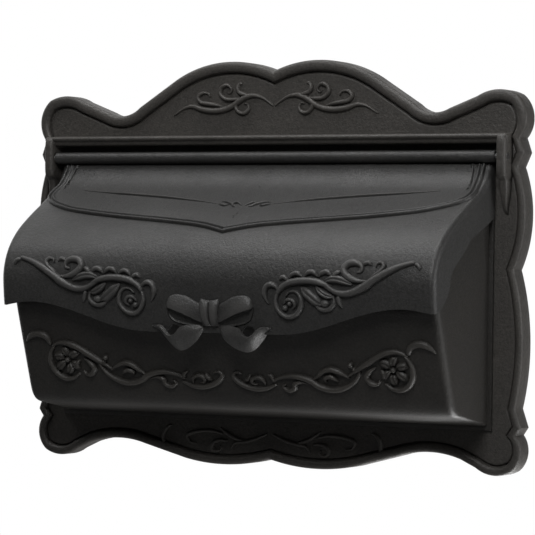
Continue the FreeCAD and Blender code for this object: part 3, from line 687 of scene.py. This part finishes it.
def stroke(place, width, rise, *points, start=0.4, end=0.4, crease=0.0):
    """A ridge along a line. Across it, height is rise x (1 - |k|^2.4)^0.7 for k from edge
    to edge; along it, the width eases from its end shares to full and closes round."""
    rough = np.asarray(points, float)
    size = step_lengths(rough).sum()
    line = along(rough, max(12, int(size / STROKE_STEP)))
    t = np.linspace(0, 1, len(line))
    aside = -inward(directions(line))
    swell = (start + (1 - start) * ease(t / TAPER)) * (end + (1 - end) * ease((1 - t) / TAPER))
    tip = min(0.45, 0.5 * width / size)
    near = np.clip(np.minimum(t, 1 - t) / tip, 0, 1)
    close = np.sqrt(1 - (1 - near) ** 2)
    half = 0.5 * width * swell * close
    high = rise * np.maximum(swell, TIP_FLOOR) * close ** 0.8
    k = np.concatenate([TOP_K, BASE_K])
    bell = (1 - np.abs(TOP_K) ** 2.4) ** 0.7 * (1 - crease * np.exp(-(TOP_K / 0.22) ** 2))
    lift = np.concatenate([high[:, None] * bell, np.full((len(t), 3), -SINK)], 1)
    lift[[0, -1]] = 0
    flat = line[:, None] + aside[:, None] * (half[:, None] * k)[..., None]
    # The crest follows the ridge's height; the coat lightens it as polish and as a painted
    # highlight.
    crest = np.concatenate([np.tile(bell, (len(t), 1)), np.zeros((len(t), 3))], 1)
    return grid(place(flat[..., 0], flat[..., 1], lift), wrap=True, crest=crest)


def bud(place, x, z, size, rise, tall=1.0):
    """A round knob: height is rise x sqrt(1 - r^2), over a flat sunk base."""
    r = np.sin(np.linspace(0, np.pi / 2, 7))
    r = np.concatenate([r, [0.0]])[:, None]
    turn = np.linspace(0, 2 * np.pi, 20, endpoint=False)[None]
    lift = rise * np.sqrt(np.clip(1 - r ** 2, 0, 1)) * np.ones_like(turn)
    crest = lift / rise
    lift[-1] = -SINK
    flat_u = x + 0.5 * size * r * np.cos(turn)
    flat_v = z + 0.5 * size * tall * r * np.sin(turn)
    return grid(place(flat_u, flat_v, lift), wrap=True, crest=crest)


def on_plate(x, z, lift):
    """A point on the plate's face, raised by lift."""
    return np.stack([x, FACE - lift, z], -1)


def on_front(x, z, lift):
    """A point on the box's leaning front, raised by lift square to it."""
    lean = np.array([-FRONT_FALL, -FRONT_LEAN]) / math.hypot(FRONT_FALL, FRONT_LEAN)
    y = KNEE_Y + (KNEE_Z - z) * FRONT_LEAN / FRONT_FALL
    return np.stack([x, y + lean[0] * lift, z + lean[1] * lift], -1)


def relief(name, strokes, place, home):
    """Both halves of a mirrored ornament, one piece for each side."""
    half = join([make(place, *shape, **more) for make, shape, more in strokes])
    make_pair(name, half, home, sharp=75)


def line(*shape, **more):
    """A stroke (its width, its rise, its points) for an ornament to make."""
    return stroke, shape, more


def knob(*shape, **more):
    """A bud (its place, size and rise) for an ornament to make."""
    return bud, shape, more


print("stroke section has", len(TOP_K) + len(BASE_K), "points")

# %% Vine on the plate's top
TOP_VINE = [
    line(5.1, 2.9, (0.3, 120.4), (6, 124.6), (12, 127.6), (19, 128.6), (25, 127), (30, 124.4),
         (35.5, 120.8), (43, 118.2), (52, 117.5), (61, 118.7), (69, 121), (75, 120.4),
         (80, 118.2), (86.5, 114), start=0.3, end=0.25),
    line(3.5, 2.6, (23, 127.6), (29.6, 125.4), (32.4, 120.6), (29.4, 116.2), (24.4, 115.6),
         (21.2, 119), (22.8, 122.6), (26.3, 122), start=0.7),
    line(3.8, 2.6, (19, 128.6), (25, 129.4), (29.6, 131.2), (31, 134.4), (29.4, 137.6),
         (26.6, 137.2), start=0.5, end=0.6),
    line(3.7, 2.8, (24, 128), (33, 126), (40.6, 126.2), (45.6, 130), (44.8, 134.9), (39.8, 136.8),
         (36.2, 133.6), (37.6, 130.6), (40.4, 131.6), start=0.4),
    line(3.7, 2.6, (40, 119.2), (47, 121.4), (55, 122.7), (62.2, 124), (65, 127.8), (61.6, 131),
         (56.4, 130.6), (54.6, 127.4), start=0.3),
]
relief("plate_top_vine", TOP_VINE, on_plate, PLATE)

# %% Thin scrolls on the plate's foot
FOOT_SCROLLS = [line(3.2, 1.9, *points, start=0.6, end=0.5) for points in (
    ((2, -124.6), (12.5, -129), (21, -131.2), (30, -132.8), (33.5, -138)),
    ((21, -131.2), (31, -128.4), (38, -124.6), (43, -121)),
    ((40, -126), (50, -124.1), (62.4, -125.1), (70.6, -128), (68.5, -133), (62.5, -134)),
    ((36, -131.4), (42, -130.8), (47.6, -132.6), (49.6, -137), (46, -139.6), (41.6, -137.6),
     (43, -134.6)),
    ((84, -121), (88, -122.4), (91.6, -128), (91.4, -134), (87.6, -137.8)),
)]
relief("plate_foot_scroll", FOOT_SCROLLS, on_plate, PLATE)

# %% [markdown]
# The lid's vines are the richest ornament: a thick stem that dips and rises, a rosette
# at its inner end, and small leaves along its back. They use the same strokes, placed
# by the distance across the lid and the length down it, so they follow the brow.

# %% Vines on the lid
LID_VINE = [
    line(6.0, 3.9, (162.6, 117.6), (152, 120.6), (142, 125), (132, 130.6), (123, 135.8),
         (114, 139.6), (106, 140.2), (99, 137.8), (92, 133.6), start=0.6, end=0.7),
    line(5.6, 4.0, (102, 139.4), (94, 134.4), (85, 132.2), (75, 132), (66, 133.4), (59, 137),
         (55, 142.4), start=0.6, end=0.7),
    line(4.2, 3.3, (62, 136.6), (56.4, 140.6), (54.4, 147), (57, 153.8), (63, 157.6), (70, 155.8),
         (74.6, 150), (74.4, 143.6), (70.4, 139.6), (65.4, 140), (62, 143.4), start=0.6),
    line(3.6, 2.8, (60, 149.4), (63.4, 145.6), (68, 146), (69.6, 149.6), (66.6, 152.6)),
    knob(61.6, 151.6, size=4.8, rise=2.8),
    knob(65.4, 148.4, size=4.2, rise=3.0),
    line(9.0, 3.6, (74, 136), (79.4, 140.6), (85.6, 145.4), (92, 149.2), crease=0.3, end=0.5),
    line(6.0, 3.2, (86, 135.4), (90.6, 139.6), (95.6, 142.2), (101, 143), crease=0.3),
    knob(93.4, 147.8, size=7.6, rise=3.3, tall=0.8),
    line(4.0, 2.6, (84, 147.4), (90, 151.8), (96.6, 151.4), (100.6, 147.2), (99.6, 141.6),
         start=0.5, end=0.4),
    line(3.6, 2.4, (104, 139.6), (104.4, 145.6), (106.6, 151), end=0.2),
    line(4.4, 3.0, (57.4, 140.4), (54.6, 136.4), (50.4, 134.8), (46.6, 136.8), (45.4, 141.6),
         (47.2, 146.8), (49, 149), end=0.35),
    line(3.6, 2.4, (161, 118.6), (165.4, 120.4), (166.2, 124)),
    line(3.6, 2.8, (126, 133.4), (131, 128.6), (136.4, 124.6), (138.8, 121), (136.6, 118.4),
         (133, 119.2), (132.6, 122.2), start=0.4),
    line(6.0, 3.5, (127, 131.6), (119, 131.4), (111.6, 128.6), (108, 124), (110.4, 119.8),
         (116, 118.6), (121, 120.6), (121.4, 124.6), (117.4, 126), start=0.35),
    line(6.4, 3.3, (92, 132.8), (98.6, 130.6), (106.4, 131.2), (115.6, 134.4), start=0.5,
         crease=0.3),
    line(4.6, 3.0, (112, 139), (119.6, 138.4), (127, 135.2), (133, 130.4), start=0.5, crease=0.3),
    line(3.4, 2.2, (121, 120.6), (126, 118.4), (129.4, 120.8)),
    line(4.2, 2.8, (106.4, 124.6), (101.6, 127.2), (100.4, 131.2)),
    line(4.4, 2.9, (100, 129.6), (95.4, 125.6), (90.6, 126.8), (88.4, 130)),
    line(4.2, 2.9, (88.6, 129.4), (84, 125.8), (79.4, 126.6), (77, 129.8)),
    line(4.0, 2.8, (76.6, 129.8), (71.4, 126.8), (67, 128.2), (64.8, 131.6)),
    line(3.8, 2.5, (65.4, 132.6), (60.6, 129.6), (56.6, 132)),
]
relief("lid_vine", LID_VINE, on_lid, LID)

# %% Fine lines on the lid panel
PANEL_LINES = [line(1.8, 2.7, *points, start=0.6, end=0.6) for points in (
    ((150, 31), (119, 36), (82, 41), (44, 47.5), (23, 52)),
    ((1, 55.4), (6, 51.4), (9.6, 52.6), (8.4, 56), (4.6, 57.4)),
    ((4.6, 57.4), (11, 53), (17, 49.6), (21.6, 49.4)),
    ((12, 53), (15.4, 55.6), (19.6, 54), (22.6, 52)),
)]
relief("lid_panel_line", PANEL_LINES, on_lid, LID)

# %% [markdown]
# The box front has a lower, flatter garland: a wave with a ring and a flower near each
# end, and small scrolls that nearly meet in the middle.

# %% Garland on the box front
GARLAND_TOP, GARLAND_HEIGHT = -58.6, 0.87


def on_garland(x, z, lift):
    """A point of the garland on the box's front: z = top + (z - top) * height."""
    return on_front(x, GARLAND_TOP + (z - GARLAND_TOP) * GARLAND_HEIGHT, lift)


GARLAND = [
    line(6.3, 3.1, (147.6, -60.6), (149.6, -54.6), (153.6, -51.4), (159, -50.6), (164.4, -52.8),
         (169.6, -58.4), start=0.6, end=0.3),
    line(5.8, 3.2, (97, -80), (103, -75.6), (109, -71.6), (116, -67), (124, -61.8), (132, -58.4),
         (140, -57.8), (147.4, -61.4), start=0.4, end=0.5),
    line(5.2, 3.4, (144.6, -60.6), (148.8, -67), (149.8, -75.8), (146.4, -83.6), (140, -88.2),
         (132.4, -88), (126, -83.4), start=0.5, end=0.5),
    line(7.6, 3.2, (133.6, -71.4), (129.4, -67.4), (123.6, -66.8), crease=0.3),
    line(7.2, 3.2, (134.8, -70.4), (135.4, -65.4), (139.2, -61.8), crease=0.3),
    line(7.4, 3.2, (136.6, -71.6), (141.6, -69.4), (147.4, -70.4), crease=0.3),
    line(7.6, 3.2, (136.2, -73.6), (141, -77), (146, -81.6), crease=0.3),
    line(7.2, 3.2, (134, -74.4), (134, -80), (136.4, -85.4), crease=0.3),
    line(6.4, 3.0, (132.8, -73.4), (128.4, -76.6), (126.6, -81.4), crease=0.3),
    knob(134.8, -72.2, size=5.0, rise=3.9),
    line(4.9, 3.2, (121.4, -70.6), (116.4, -73.8), (113, -78.6), (115.4, -83.6), (120.4, -84.6),
         (123.4, -81)),
    line(4.5, 3.1, (124.4, -72), (127.4, -76.6), (124.8, -80.4)),
    knob(117.4, -84.6, size=4.2, rise=3.1),
    knob(101.4, -69.4, size=5.0, rise=3.6),
    line(4.1, 2.6, (104, -75), (103.4, -71)),
    line(5.5, 3.4, (108.6, -73.4), (105.6, -79.6), (100.4, -85), (91.6, -89.4), (82.4, -90.4),
         (74, -88), (67.6, -83.6), (60, -81), (51.4, -80.2), (42.6, -82.2), (35.4, -85.6),
         start=0.5, end=0.5),
    line(5.1, 3.4, (99.4, -81), (91.6, -75.6), (84.6, -73.4), (78.6, -75.6), (73.6, -80),
         (69, -83.4), start=0.4),
    line(4.5, 3.1, (90, -84), (84.4, -79.6), (79.4, -81.4), (80.6, -85)),
    line(4.1, 2.8, (66, -86.4), (60, -84.8), (54.6, -86.6), (53.6, -90.6), (48.6, -92.4),
         (44.6, -89.6), (47.6, -86.8)),
    line(4.9, 3.1, (39.6, -87.6), (31, -91.2), (21.6, -91.8), (13, -89.4), (7, -85.4),
         (4.6, -81.4), (7.6, -78.6), (12.4, -80.2), start=0.5),
    line(3.8, 2.6, (13, -86.4), (17, -83.4), (18.6, -79.6)),
    line(3.6, 2.4, (37, -86), (36.4, -81.4), (32.6, -78.8)),
    line(4.1, 2.9, (30, -90), (29, -84.6), (24.6, -82), (20, -84), (20.4, -88), (24.4, -88.4)),
]
relief("box_garland", GARLAND, on_garland, BOX)

# %% [markdown]
# ## The bow
# A ribbon bow closes the middle of the lip. Each loop is a band that bulges forward and
# folds back, so its mouth is a shaded hollow below the band. The knot has two upright
# pleats, and the tails hang below the lip and turn up to points. Cloth simulation isn't
# needed, because the real bow is cast: each part is a height over a shaped outline.

# %% Bow loops
def between(u, low, high, *keys):
    """Values at u of a smooth line through evenly listed (u, value) keys, held between
    low and high."""
    keys = np.asarray(keys, float)
    fine = along(keys, 200)
    return np.clip(np.interp(u, fine[:, 0], fine[:, 1]), low, high)


BOW_REACH, BOW_SINK = -113.9, 1.2
LOOP_ROOT, LOOP_LONG, LOOP_FOOT, LOOP_CROWN, BAND = 6.5, 29.3, -45.0, -19.6, 0.62
U = np.linspace(0, 1, 44)[:, None]
V = np.linspace(0, 1, 40)[None, :]
loop_x = LOOP_ROOT + LOOP_LONG * np.sin(U * np.pi / 2)
LOOP_U = (6.5, 12, 18, 24, 30, 34, 35.8)
loop_top, loop_mid, loop_low = (
    between(loop_x, LOOP_FOOT, LOOP_CROWN, *zip(LOOP_U, heights)) for heights in (
        (-27, -24.6, -21.4, -20, -20, -22.4, -27.5),
        (-39.5, -37.4, -34.6, -32.2, -30.2, -29, -27.5),
        (-42.6, -42.6, -42.2, -41.4, -39.6, -35.6, -28.5)))
band_t, hollow_t = np.clip(V / BAND, 0, 1), np.clip((V - BAND) / (1 - BAND), 0, 1)
loop_z = np.where(V < BAND, loop_top + (loop_mid - loop_top) * band_t,
                  loop_mid + (loop_low - loop_mid) * hollow_t)
belly = between(loop_x, 0.1, 5.2, (6.5, 2.6), (14, 3.4), (22, 4.4), (30, 4.4), (34, 3.2),
                (35.8, 0.2))
band_h = belly * (0.12 + 0.88 * np.sin(band_t * np.pi * 0.56) ** 0.75)
hollow_h = 0.2 + 0.9 * np.exp(-((hollow_t - 0.93) / 0.06) ** 2)
step = ease((V - BAND) / 0.05)
loop_h = band_h * (1 - step) + np.minimum(hollow_h, belly) * step
loop_h[:, [0, -1]] = 0


def lip_face(x, z, lift):
    """A point near the bow: the lid's front below the brow, raised towards the room."""
    point, out = side_point(z_to_s(z))
    y = np.maximum(point[..., 0] + out[..., 0] * lift, BOW_REACH)
    return np.stack([np.broadcast_to(x, y.shape), y, z + out[..., 1] * lift], -1)


loop_wide = np.broadcast_to(loop_x, loop_z.shape)
loop_front = lip_face(loop_wide, loop_z, loop_h)
loop_back = lip_face(loop_wide, loop_z, np.full(loop_z.shape, -BOW_SINK))
shell = np.concatenate([loop_front, loop_back[:, ::-1]], 1)
# The band's crest lightens it like the ornaments' ridges, partly polish and partly a painted
# highlight; the hollow gets none.
crest = np.concatenate([band_h / band_h.max() * (1 - step), np.zeros_like(loop_z)], 1)
make_pair("bow_loop", grid(shell, wrap=True, crest=crest), LID, sharp=70)

# %% Bow knot
KNOT_TOP, KNOT_TALL, KNOT_RISE = -23.8, 18.8, 5.2
ring_angle = np.linspace(-1, 1, 49)[None, :]
knot_v = np.linspace(0, 1, 30)[:, None]
knot_half = between(knot_v, 4, 9, (0, 7.2), (0.15, 8.4), (0.4, 8.2), (0.75, 7.4), (1, 6.4))
knot_x = ring_angle * knot_half
knot_z = KNOT_TOP - KNOT_TALL * knot_v + 1.2 * ring_angle ** 2 * (knot_v < 0.5)
two_pleats = np.sqrt(np.clip(1 - (2 * np.abs(ring_angle) - 1) ** 2, 0, 1))
pleats = 0.42 * np.sqrt(np.clip(1 - ring_angle ** 2, 0, 1)) + 0.58 * two_pleats
knot_h = KNOT_RISE * pleats * np.sin(np.clip(knot_v, 0, 1) * np.pi) ** 0.35
knot_front = lip_face(knot_x, knot_z, knot_h)
knot_back = lip_face(knot_x, knot_z, np.full(knot_x.shape, -BOW_SINK))
knot_shell = np.concatenate([knot_front, knot_back[:, ::-1]], 1)
# The pleats' crest lightens them the same way, partly polish and partly a painted highlight.
knot_crest = np.concatenate([knot_h / knot_h.max(), np.zeros_like(knot_h)], 1)
knot_crest = np.pad(knot_crest, ((1, 1), (0, 0)))
make_piece("bow_knot", grid(shut_ends(knot_shell), wrap=True, crest=knot_crest), LID, sharp=80)

# %% Bow tails
TAIL_UPPER = [(6.8, -105.5, -42.4), (12, -107.6, -41.8), (19, -109.6, -42), (24, -110.8, -44),
              (28, -111.2, -48.6), (32, -111.2, -50.2), (35.6, -110.8, -48.6),
              (40, -110, -44.4), (44, -108.6, -42.6), (48.8, -106.6, -42.6)]
TAIL_LOWER = [(6.8, -105.2, -44.4), (8.6, -105.6, -49), (12, -105.6, -53.4),
              (17.8, -104.2, -57.6), (23, -102.4, -60), (28, -101.4, -60.8),
              (33, -100.6, -59), (38, -100.2, -54), (43.2, -101.4, -48), (48.8, -106.2, -43.2)]
TAIL_ROWS, TAIL_COLS, TAIL_PUFF, TAIL_PAINTED_LIGHT = 64, 16, 2.4, 0.75
tail_v = np.linspace(0, 1, TAIL_COLS)[None, :, None]
upper, lower = along(TAIL_UPPER, TAIL_ROWS)[:, None], along(TAIL_LOWER, TAIL_ROWS)[:, None]
tail = upper * (1 - tail_v) + lower * tail_v
puff = TAIL_PUFF * np.sin(np.pi * tail_v[..., 0]) * np.sin(
    np.pi * np.linspace(0.04, 0.97, TAIL_ROWS))[:, None] ** 0.5
tail[..., 1] = np.maximum(tail[..., 1] - puff, BOW_REACH)
# Every point of a tail gets the same crest share, so the whole tail is lighter: painted light
# standing in for the light from below that catches the tails.
tail_part = grid(tail, crest=np.full(tail.shape[:2], TAIL_PAINTED_LIGHT))
for made in make_pair("bow_tail", tail_part, LID, inside=(0, 200, 100)):
    thicken(made, 2.6, 0.5)

# %% [markdown]
# ## Finishes
# The castings have a satin charcoal powder coat over slightly rough cast metal. A flat
# near-black would look like plastic. The coat here has three layers of noise on object
# coordinates: slow patches that shift the colour and the gloss, the orange peel of the
# coat, and the fine sandy grain of the casting. The crest attribute of the ornaments
# lightens the ridges. Part of this is polish, where hands and weather polish a coat first,
# and part is a painted highlight where light catches their tops.

# %% Powder coat and steel
def wire(made, inputs):
    """Gives a node its inputs and settings: a socket is linked, any other value is set."""
    for key, value in inputs.items():
        if isinstance(value, bpy.types.NodeSocket):
            made.id_data.links.new(value, made.inputs[key])
        elif key in made.inputs:
            made.inputs[key].default_value = value
        else:
            setattr(made, key, value)
    return made


def node(tree, kind, **inputs):
    """A new node with its inputs and settings."""
    return wire(tree.nodes.new(kind), inputs)


def new_material(name):
    """A material, its node tree and its object coordinates."""
    material = bpy.data.materials.new(name)
    material.use_nodes = True
    tree = material.node_tree
    return material, tree, tree.nodes.new("ShaderNodeTexCoord").outputs["Object"]


def noise(tree, where, scale, detail, rough=0.5):
    """A noise pattern over the coordinates where."""
    return node(tree, "ShaderNodeTexNoise", Vector=where, Scale=scale, Detail=detail,
                Roughness=rough).outputs["Fac"]


def ramp(tree, source, *stops):
    """A colour ramp between two (position, colour) stops; one number is a grey."""
    made = node(tree, "ShaderNodeValToRGB", Fac=source)
    for element, (position, colour) in zip(made.color_ramp.elements, stops):
        element.position = position
        element.color = (*np.broadcast_to(colour, 3).tolist(), 1)
    return made.outputs["Color"]


def bump(tree, height, distance, strength, **below):
    """A bump layer, on top of another one if a Normal is given."""
    return node(tree, "ShaderNodeBump", Height=height, Distance=distance, Strength=strength,
                **below).outputs["Normal"]


def powder_coat(name, dark, light, polished_and_highlit, gloss):
    """Satin powder coat on a casting, dark to light, its crests lightened by polish and a painted
    highlight.
    """
    material, tree, where = new_material(name)
    patches = noise(tree, where, 22, 4, 0.6)
    speckle = noise(tree, where, 560, 3, 0.8)
    peel = noise(tree, where, 360, 3, 0.6)
    grain = noise(tree, where, 850, 2, 0.7)
    dust = node(tree, "ShaderNodeMix", data_type="RGBA", blend_type="OVERLAY", Factor=0.5,
                A=ramp(tree, patches, (0.3, dark), (0.7, light)),
                B=ramp(tree, speckle, (0.35, 0.2), (0.65, 0.8)))
    # The crest share mixes in the lighter colour: partly polish on the ridges, partly a painted
    # highlight.
    crest = node(tree, "ShaderNodeAttribute", attribute_name="crest").outputs["Fac"]
    share = node(tree, "ShaderNodeMapRange", **{"Value": crest, "From Min": 0.55, "To Max": 0.6})
    polish_and_highlight = node(tree, "ShaderNodeMix", data_type="RGBA", Factor=share.outputs["Result"],
                A=dust.outputs["Result"], B=(*polished_and_highlit, 1))
    sand = bump(tree, grain, 0.0004, 0.7)
    wire(tree.nodes["Principled BSDF"], {
        "Base Color": polish_and_highlight.outputs["Result"],
        "Roughness": ramp(tree, patches, (0.3, gloss + 0.05), (0.7, gloss - 0.05)),
        "Specular IOR Level": 0.5, "Normal": bump(tree, peel, 0.0007, 0.45, Normal=sand)})
    return material


def steel(name, light, dark, gloss, ribs):
    """Zinc plated or ground steel: cloudy patches and fine lines across the X axis."""
    material, tree, where = new_material(name)
    mapping = node(tree, "ShaderNodeMapping", Vector=where, Scale=ribs)
    clouds = noise(tree, where, 240, 3, 0.6)
    lines = noise(tree, mapping.outputs["Vector"], 300, 3, 0.6)
    wire(tree.nodes["Principled BSDF"], {
        "Base Color": ramp(tree, clouds, (0.3, dark), (0.7, light)),
        "Roughness": ramp(tree, clouds, (0.3, gloss + 0.08), (0.7, gloss - 0.06)),
        "Metallic": 1.0, "Normal": bump(tree, lines, 0.0002, 0.25)})
    return material


# All three castings have one charcoal coat. The box's copy is made darker as painted shade on its
# leaning front, and the plate's lighter as painted light on its face; the lid's sits between
# them.
coats = {
    "back_plate_coat": powder_coat("plate_coat_with_painted_light", (0.041, 0.0378, 0.0342),
                                   (0.06, 0.0555, 0.0502), (0.066, 0.0615, 0.056), 0.5),
    "box_body_coat": powder_coat("box_coat_with_painted_shade", (0.0178, 0.0164, 0.0146),
                                 (0.0256, 0.0236, 0.021), (0.066, 0.0615, 0.0555), 0.5),
    "lid_coat": powder_coat("lid_powder_coat", (0.0275, 0.0271, 0.0264),
                            (0.0405, 0.0399, 0.0388), (0.088, 0.086, 0.083), 0.46),
}
zinc = steel("zinc_plated_steel", (0.62, 0.62, 0.6), (0.42, 0.42, 0.41), 0.38, (1, 1, 1))
ground = steel("ground_steel_pin", (0.5, 0.5, 0.5), (0.36, 0.36, 0.36), 0.3, (6, 0.4, 0.4))
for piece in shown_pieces():
    if "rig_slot" in piece:
        finish = coats[piece["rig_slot"]]
    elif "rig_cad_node" in piece:
        finish = ground if piece.name.startswith("hinge") else zinc
    else:
        continue
    piece.data.materials.clear()
    piece.data.materials.append(finish)

# %% [markdown]
# ## Studio
# The mailbox is shown on its own, as a shop shows it: a grey floor well below it, an
# even white surround, soft lights overhead, in front and to the left, a low one from the
# right that grazes the ends of the box, and a strip below and behind that lights its toe.
# The surround glows only from behind, which gives the satin coat its edge sheen.

# %% Floor, surround and lights
def paint(name, colour, rough):
    """A plain stage finish with a very faint mottle."""
    material, tree, where = new_material(name)
    tint = ramp(tree, noise(tree, where, 3, 2), (0.4, colour - 0.01), (0.6, colour))
    wire(tree.nodes["Principled BSDF"], {"Base Color": tint, "Roughness": rough})
    return material


FLOOR_DROP, FLOOR_REACH, FLOOR_SIDES = -0.75, 2.3, 96
turns = np.linspace(0, 2 * np.pi, FLOOR_SIDES, endpoint=False)
floor_points = np.stack([FLOOR_REACH * np.cos(turns), FLOOR_REACH * np.sin(turns),
                         np.full(FLOOR_SIDES, FLOOR_DROP)], -1)
floor_mesh = bpy.data.meshes.new("floor")
floor_mesh.from_pydata(floor_points.tolist(), [], [list(range(FLOOR_SIDES))])
floor_mesh.materials.append(paint("grey_floor", 0.3, 0.8))
floor = bpy.data.objects.new("floor", floor_mesh)
bpy.context.scene.collection.objects.link(floor)
floor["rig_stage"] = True

BEHIND_LEFT = (-0.707, 0.707, 0.0)
world = bpy.data.worlds.new("white_surround")
bpy.context.scene.world = world
world.use_nodes = True
sky = world.node_tree
seen = sky.nodes.new("ShaderNodeLightPath").outputs["Is Camera Ray"]
bearing = sky.nodes.new("ShaderNodeTexCoord").outputs["Generated"]
lobe = node(sky, "ShaderNodeVectorMath", operation="DOT_PRODUCT")
sky.links.new(bearing, lobe.inputs[0])
lobe.inputs[1].default_value = BEHIND_LEFT
glow = node(sky, "ShaderNodeMapRange", interpolation_type="SMOOTHSTEP", **{
    "Value": lobe.outputs["Value"], "From Min": 0.3, "From Max": 0.95,
    "To Min": 0.012, "To Max": 1.1})
shown = node(sky, "ShaderNodeMix", data_type="FLOAT", Factor=seen, A=glow.outputs["Result"],
             B=1.0)
wire(sky.nodes["Background"], {"Color": (1, 1, 1, 1), "Strength": shown.outputs["Result"]})


def soft_light(name, place, aim, size, power):
    """A rectangular area light at place, facing aim, hidden from the camera itself."""
    data = bpy.data.lights.new(name, "AREA")
    data.shape, data.energy = "RECTANGLE", power
    data.size, data.size_y = size
    lamp = bpy.data.objects.new(name, data)
    way = (Vector(aim) - Vector(place)).to_track_quat("-Z", "Y")
    lamp.matrix_world = Matrix.Translation(place) @ way.to_matrix().to_4x4()
    lamp.visible_camera = False
    bpy.context.scene.collection.objects.link(lamp)
    return lamp


soft_light("front_light", (0.38, -1.12, 0.86), (0, -0.05, 0), (0.6, 0.6), 10.4)
soft_light("overhead_light", (0.0, -0.12, 1.2), (0, -0.05, 0), (0.8, 0.3), 6.5)
soft_light("left_light", (-0.6, -0.45, 1.1), (0, -0.03, 0), (0.5, 0.5), 3.6)
soft_light("right_light", (1.5, 0.05, 0.1), (0, 0, 0), (0.8, 0.4), 7.2)
soft_light("toe_light", (0.3, 0.17, -0.5), (0.12, -0.06, -0.1), (0.7, 0.14), 3.8)

# %% [markdown]
# ## Camera
# A long lens stands a little over two metres away, round to the right of the mailbox at
# its own height. The camera's axes are worked out from its bearing: back along the view,
# right level with the floor, then both rolled by less than a degree.

# %% Camera
BEARING, RISE, ROLL = map(math.radians, (28.0, 0.256, 0.717))
DISTANCE = 2.219615
target = Vector((-0.011091, 0.0, -0.000205))
away = Vector((math.sin(BEARING) * math.cos(RISE), -math.cos(BEARING) * math.cos(RISE),
               math.sin(RISE)))
level = (-away).cross(Vector((0, 0, 1))).normalized()
upright = level.cross(-away)
right_axis = math.cos(ROLL) * level + math.sin(ROLL) * upright
up_axis = -math.sin(ROLL) * level + math.cos(ROLL) * upright
camera_data = bpy.data.cameras.new("camera")
camera_data.lens, camera_data.sensor_width = 198.25, 36.0
camera = bpy.data.objects.new("camera", camera_data)
axes = Matrix((right_axis, up_axis, away)).transposed().to_4x4()
camera.matrix_world = Matrix.Translation(target + away * DISTANCE) @ axes
bpy.context.scene.collection.objects.link(camera)
bpy.context.scene.camera = camera
bpy.context.scene.view_settings.view_transform = "Standard"
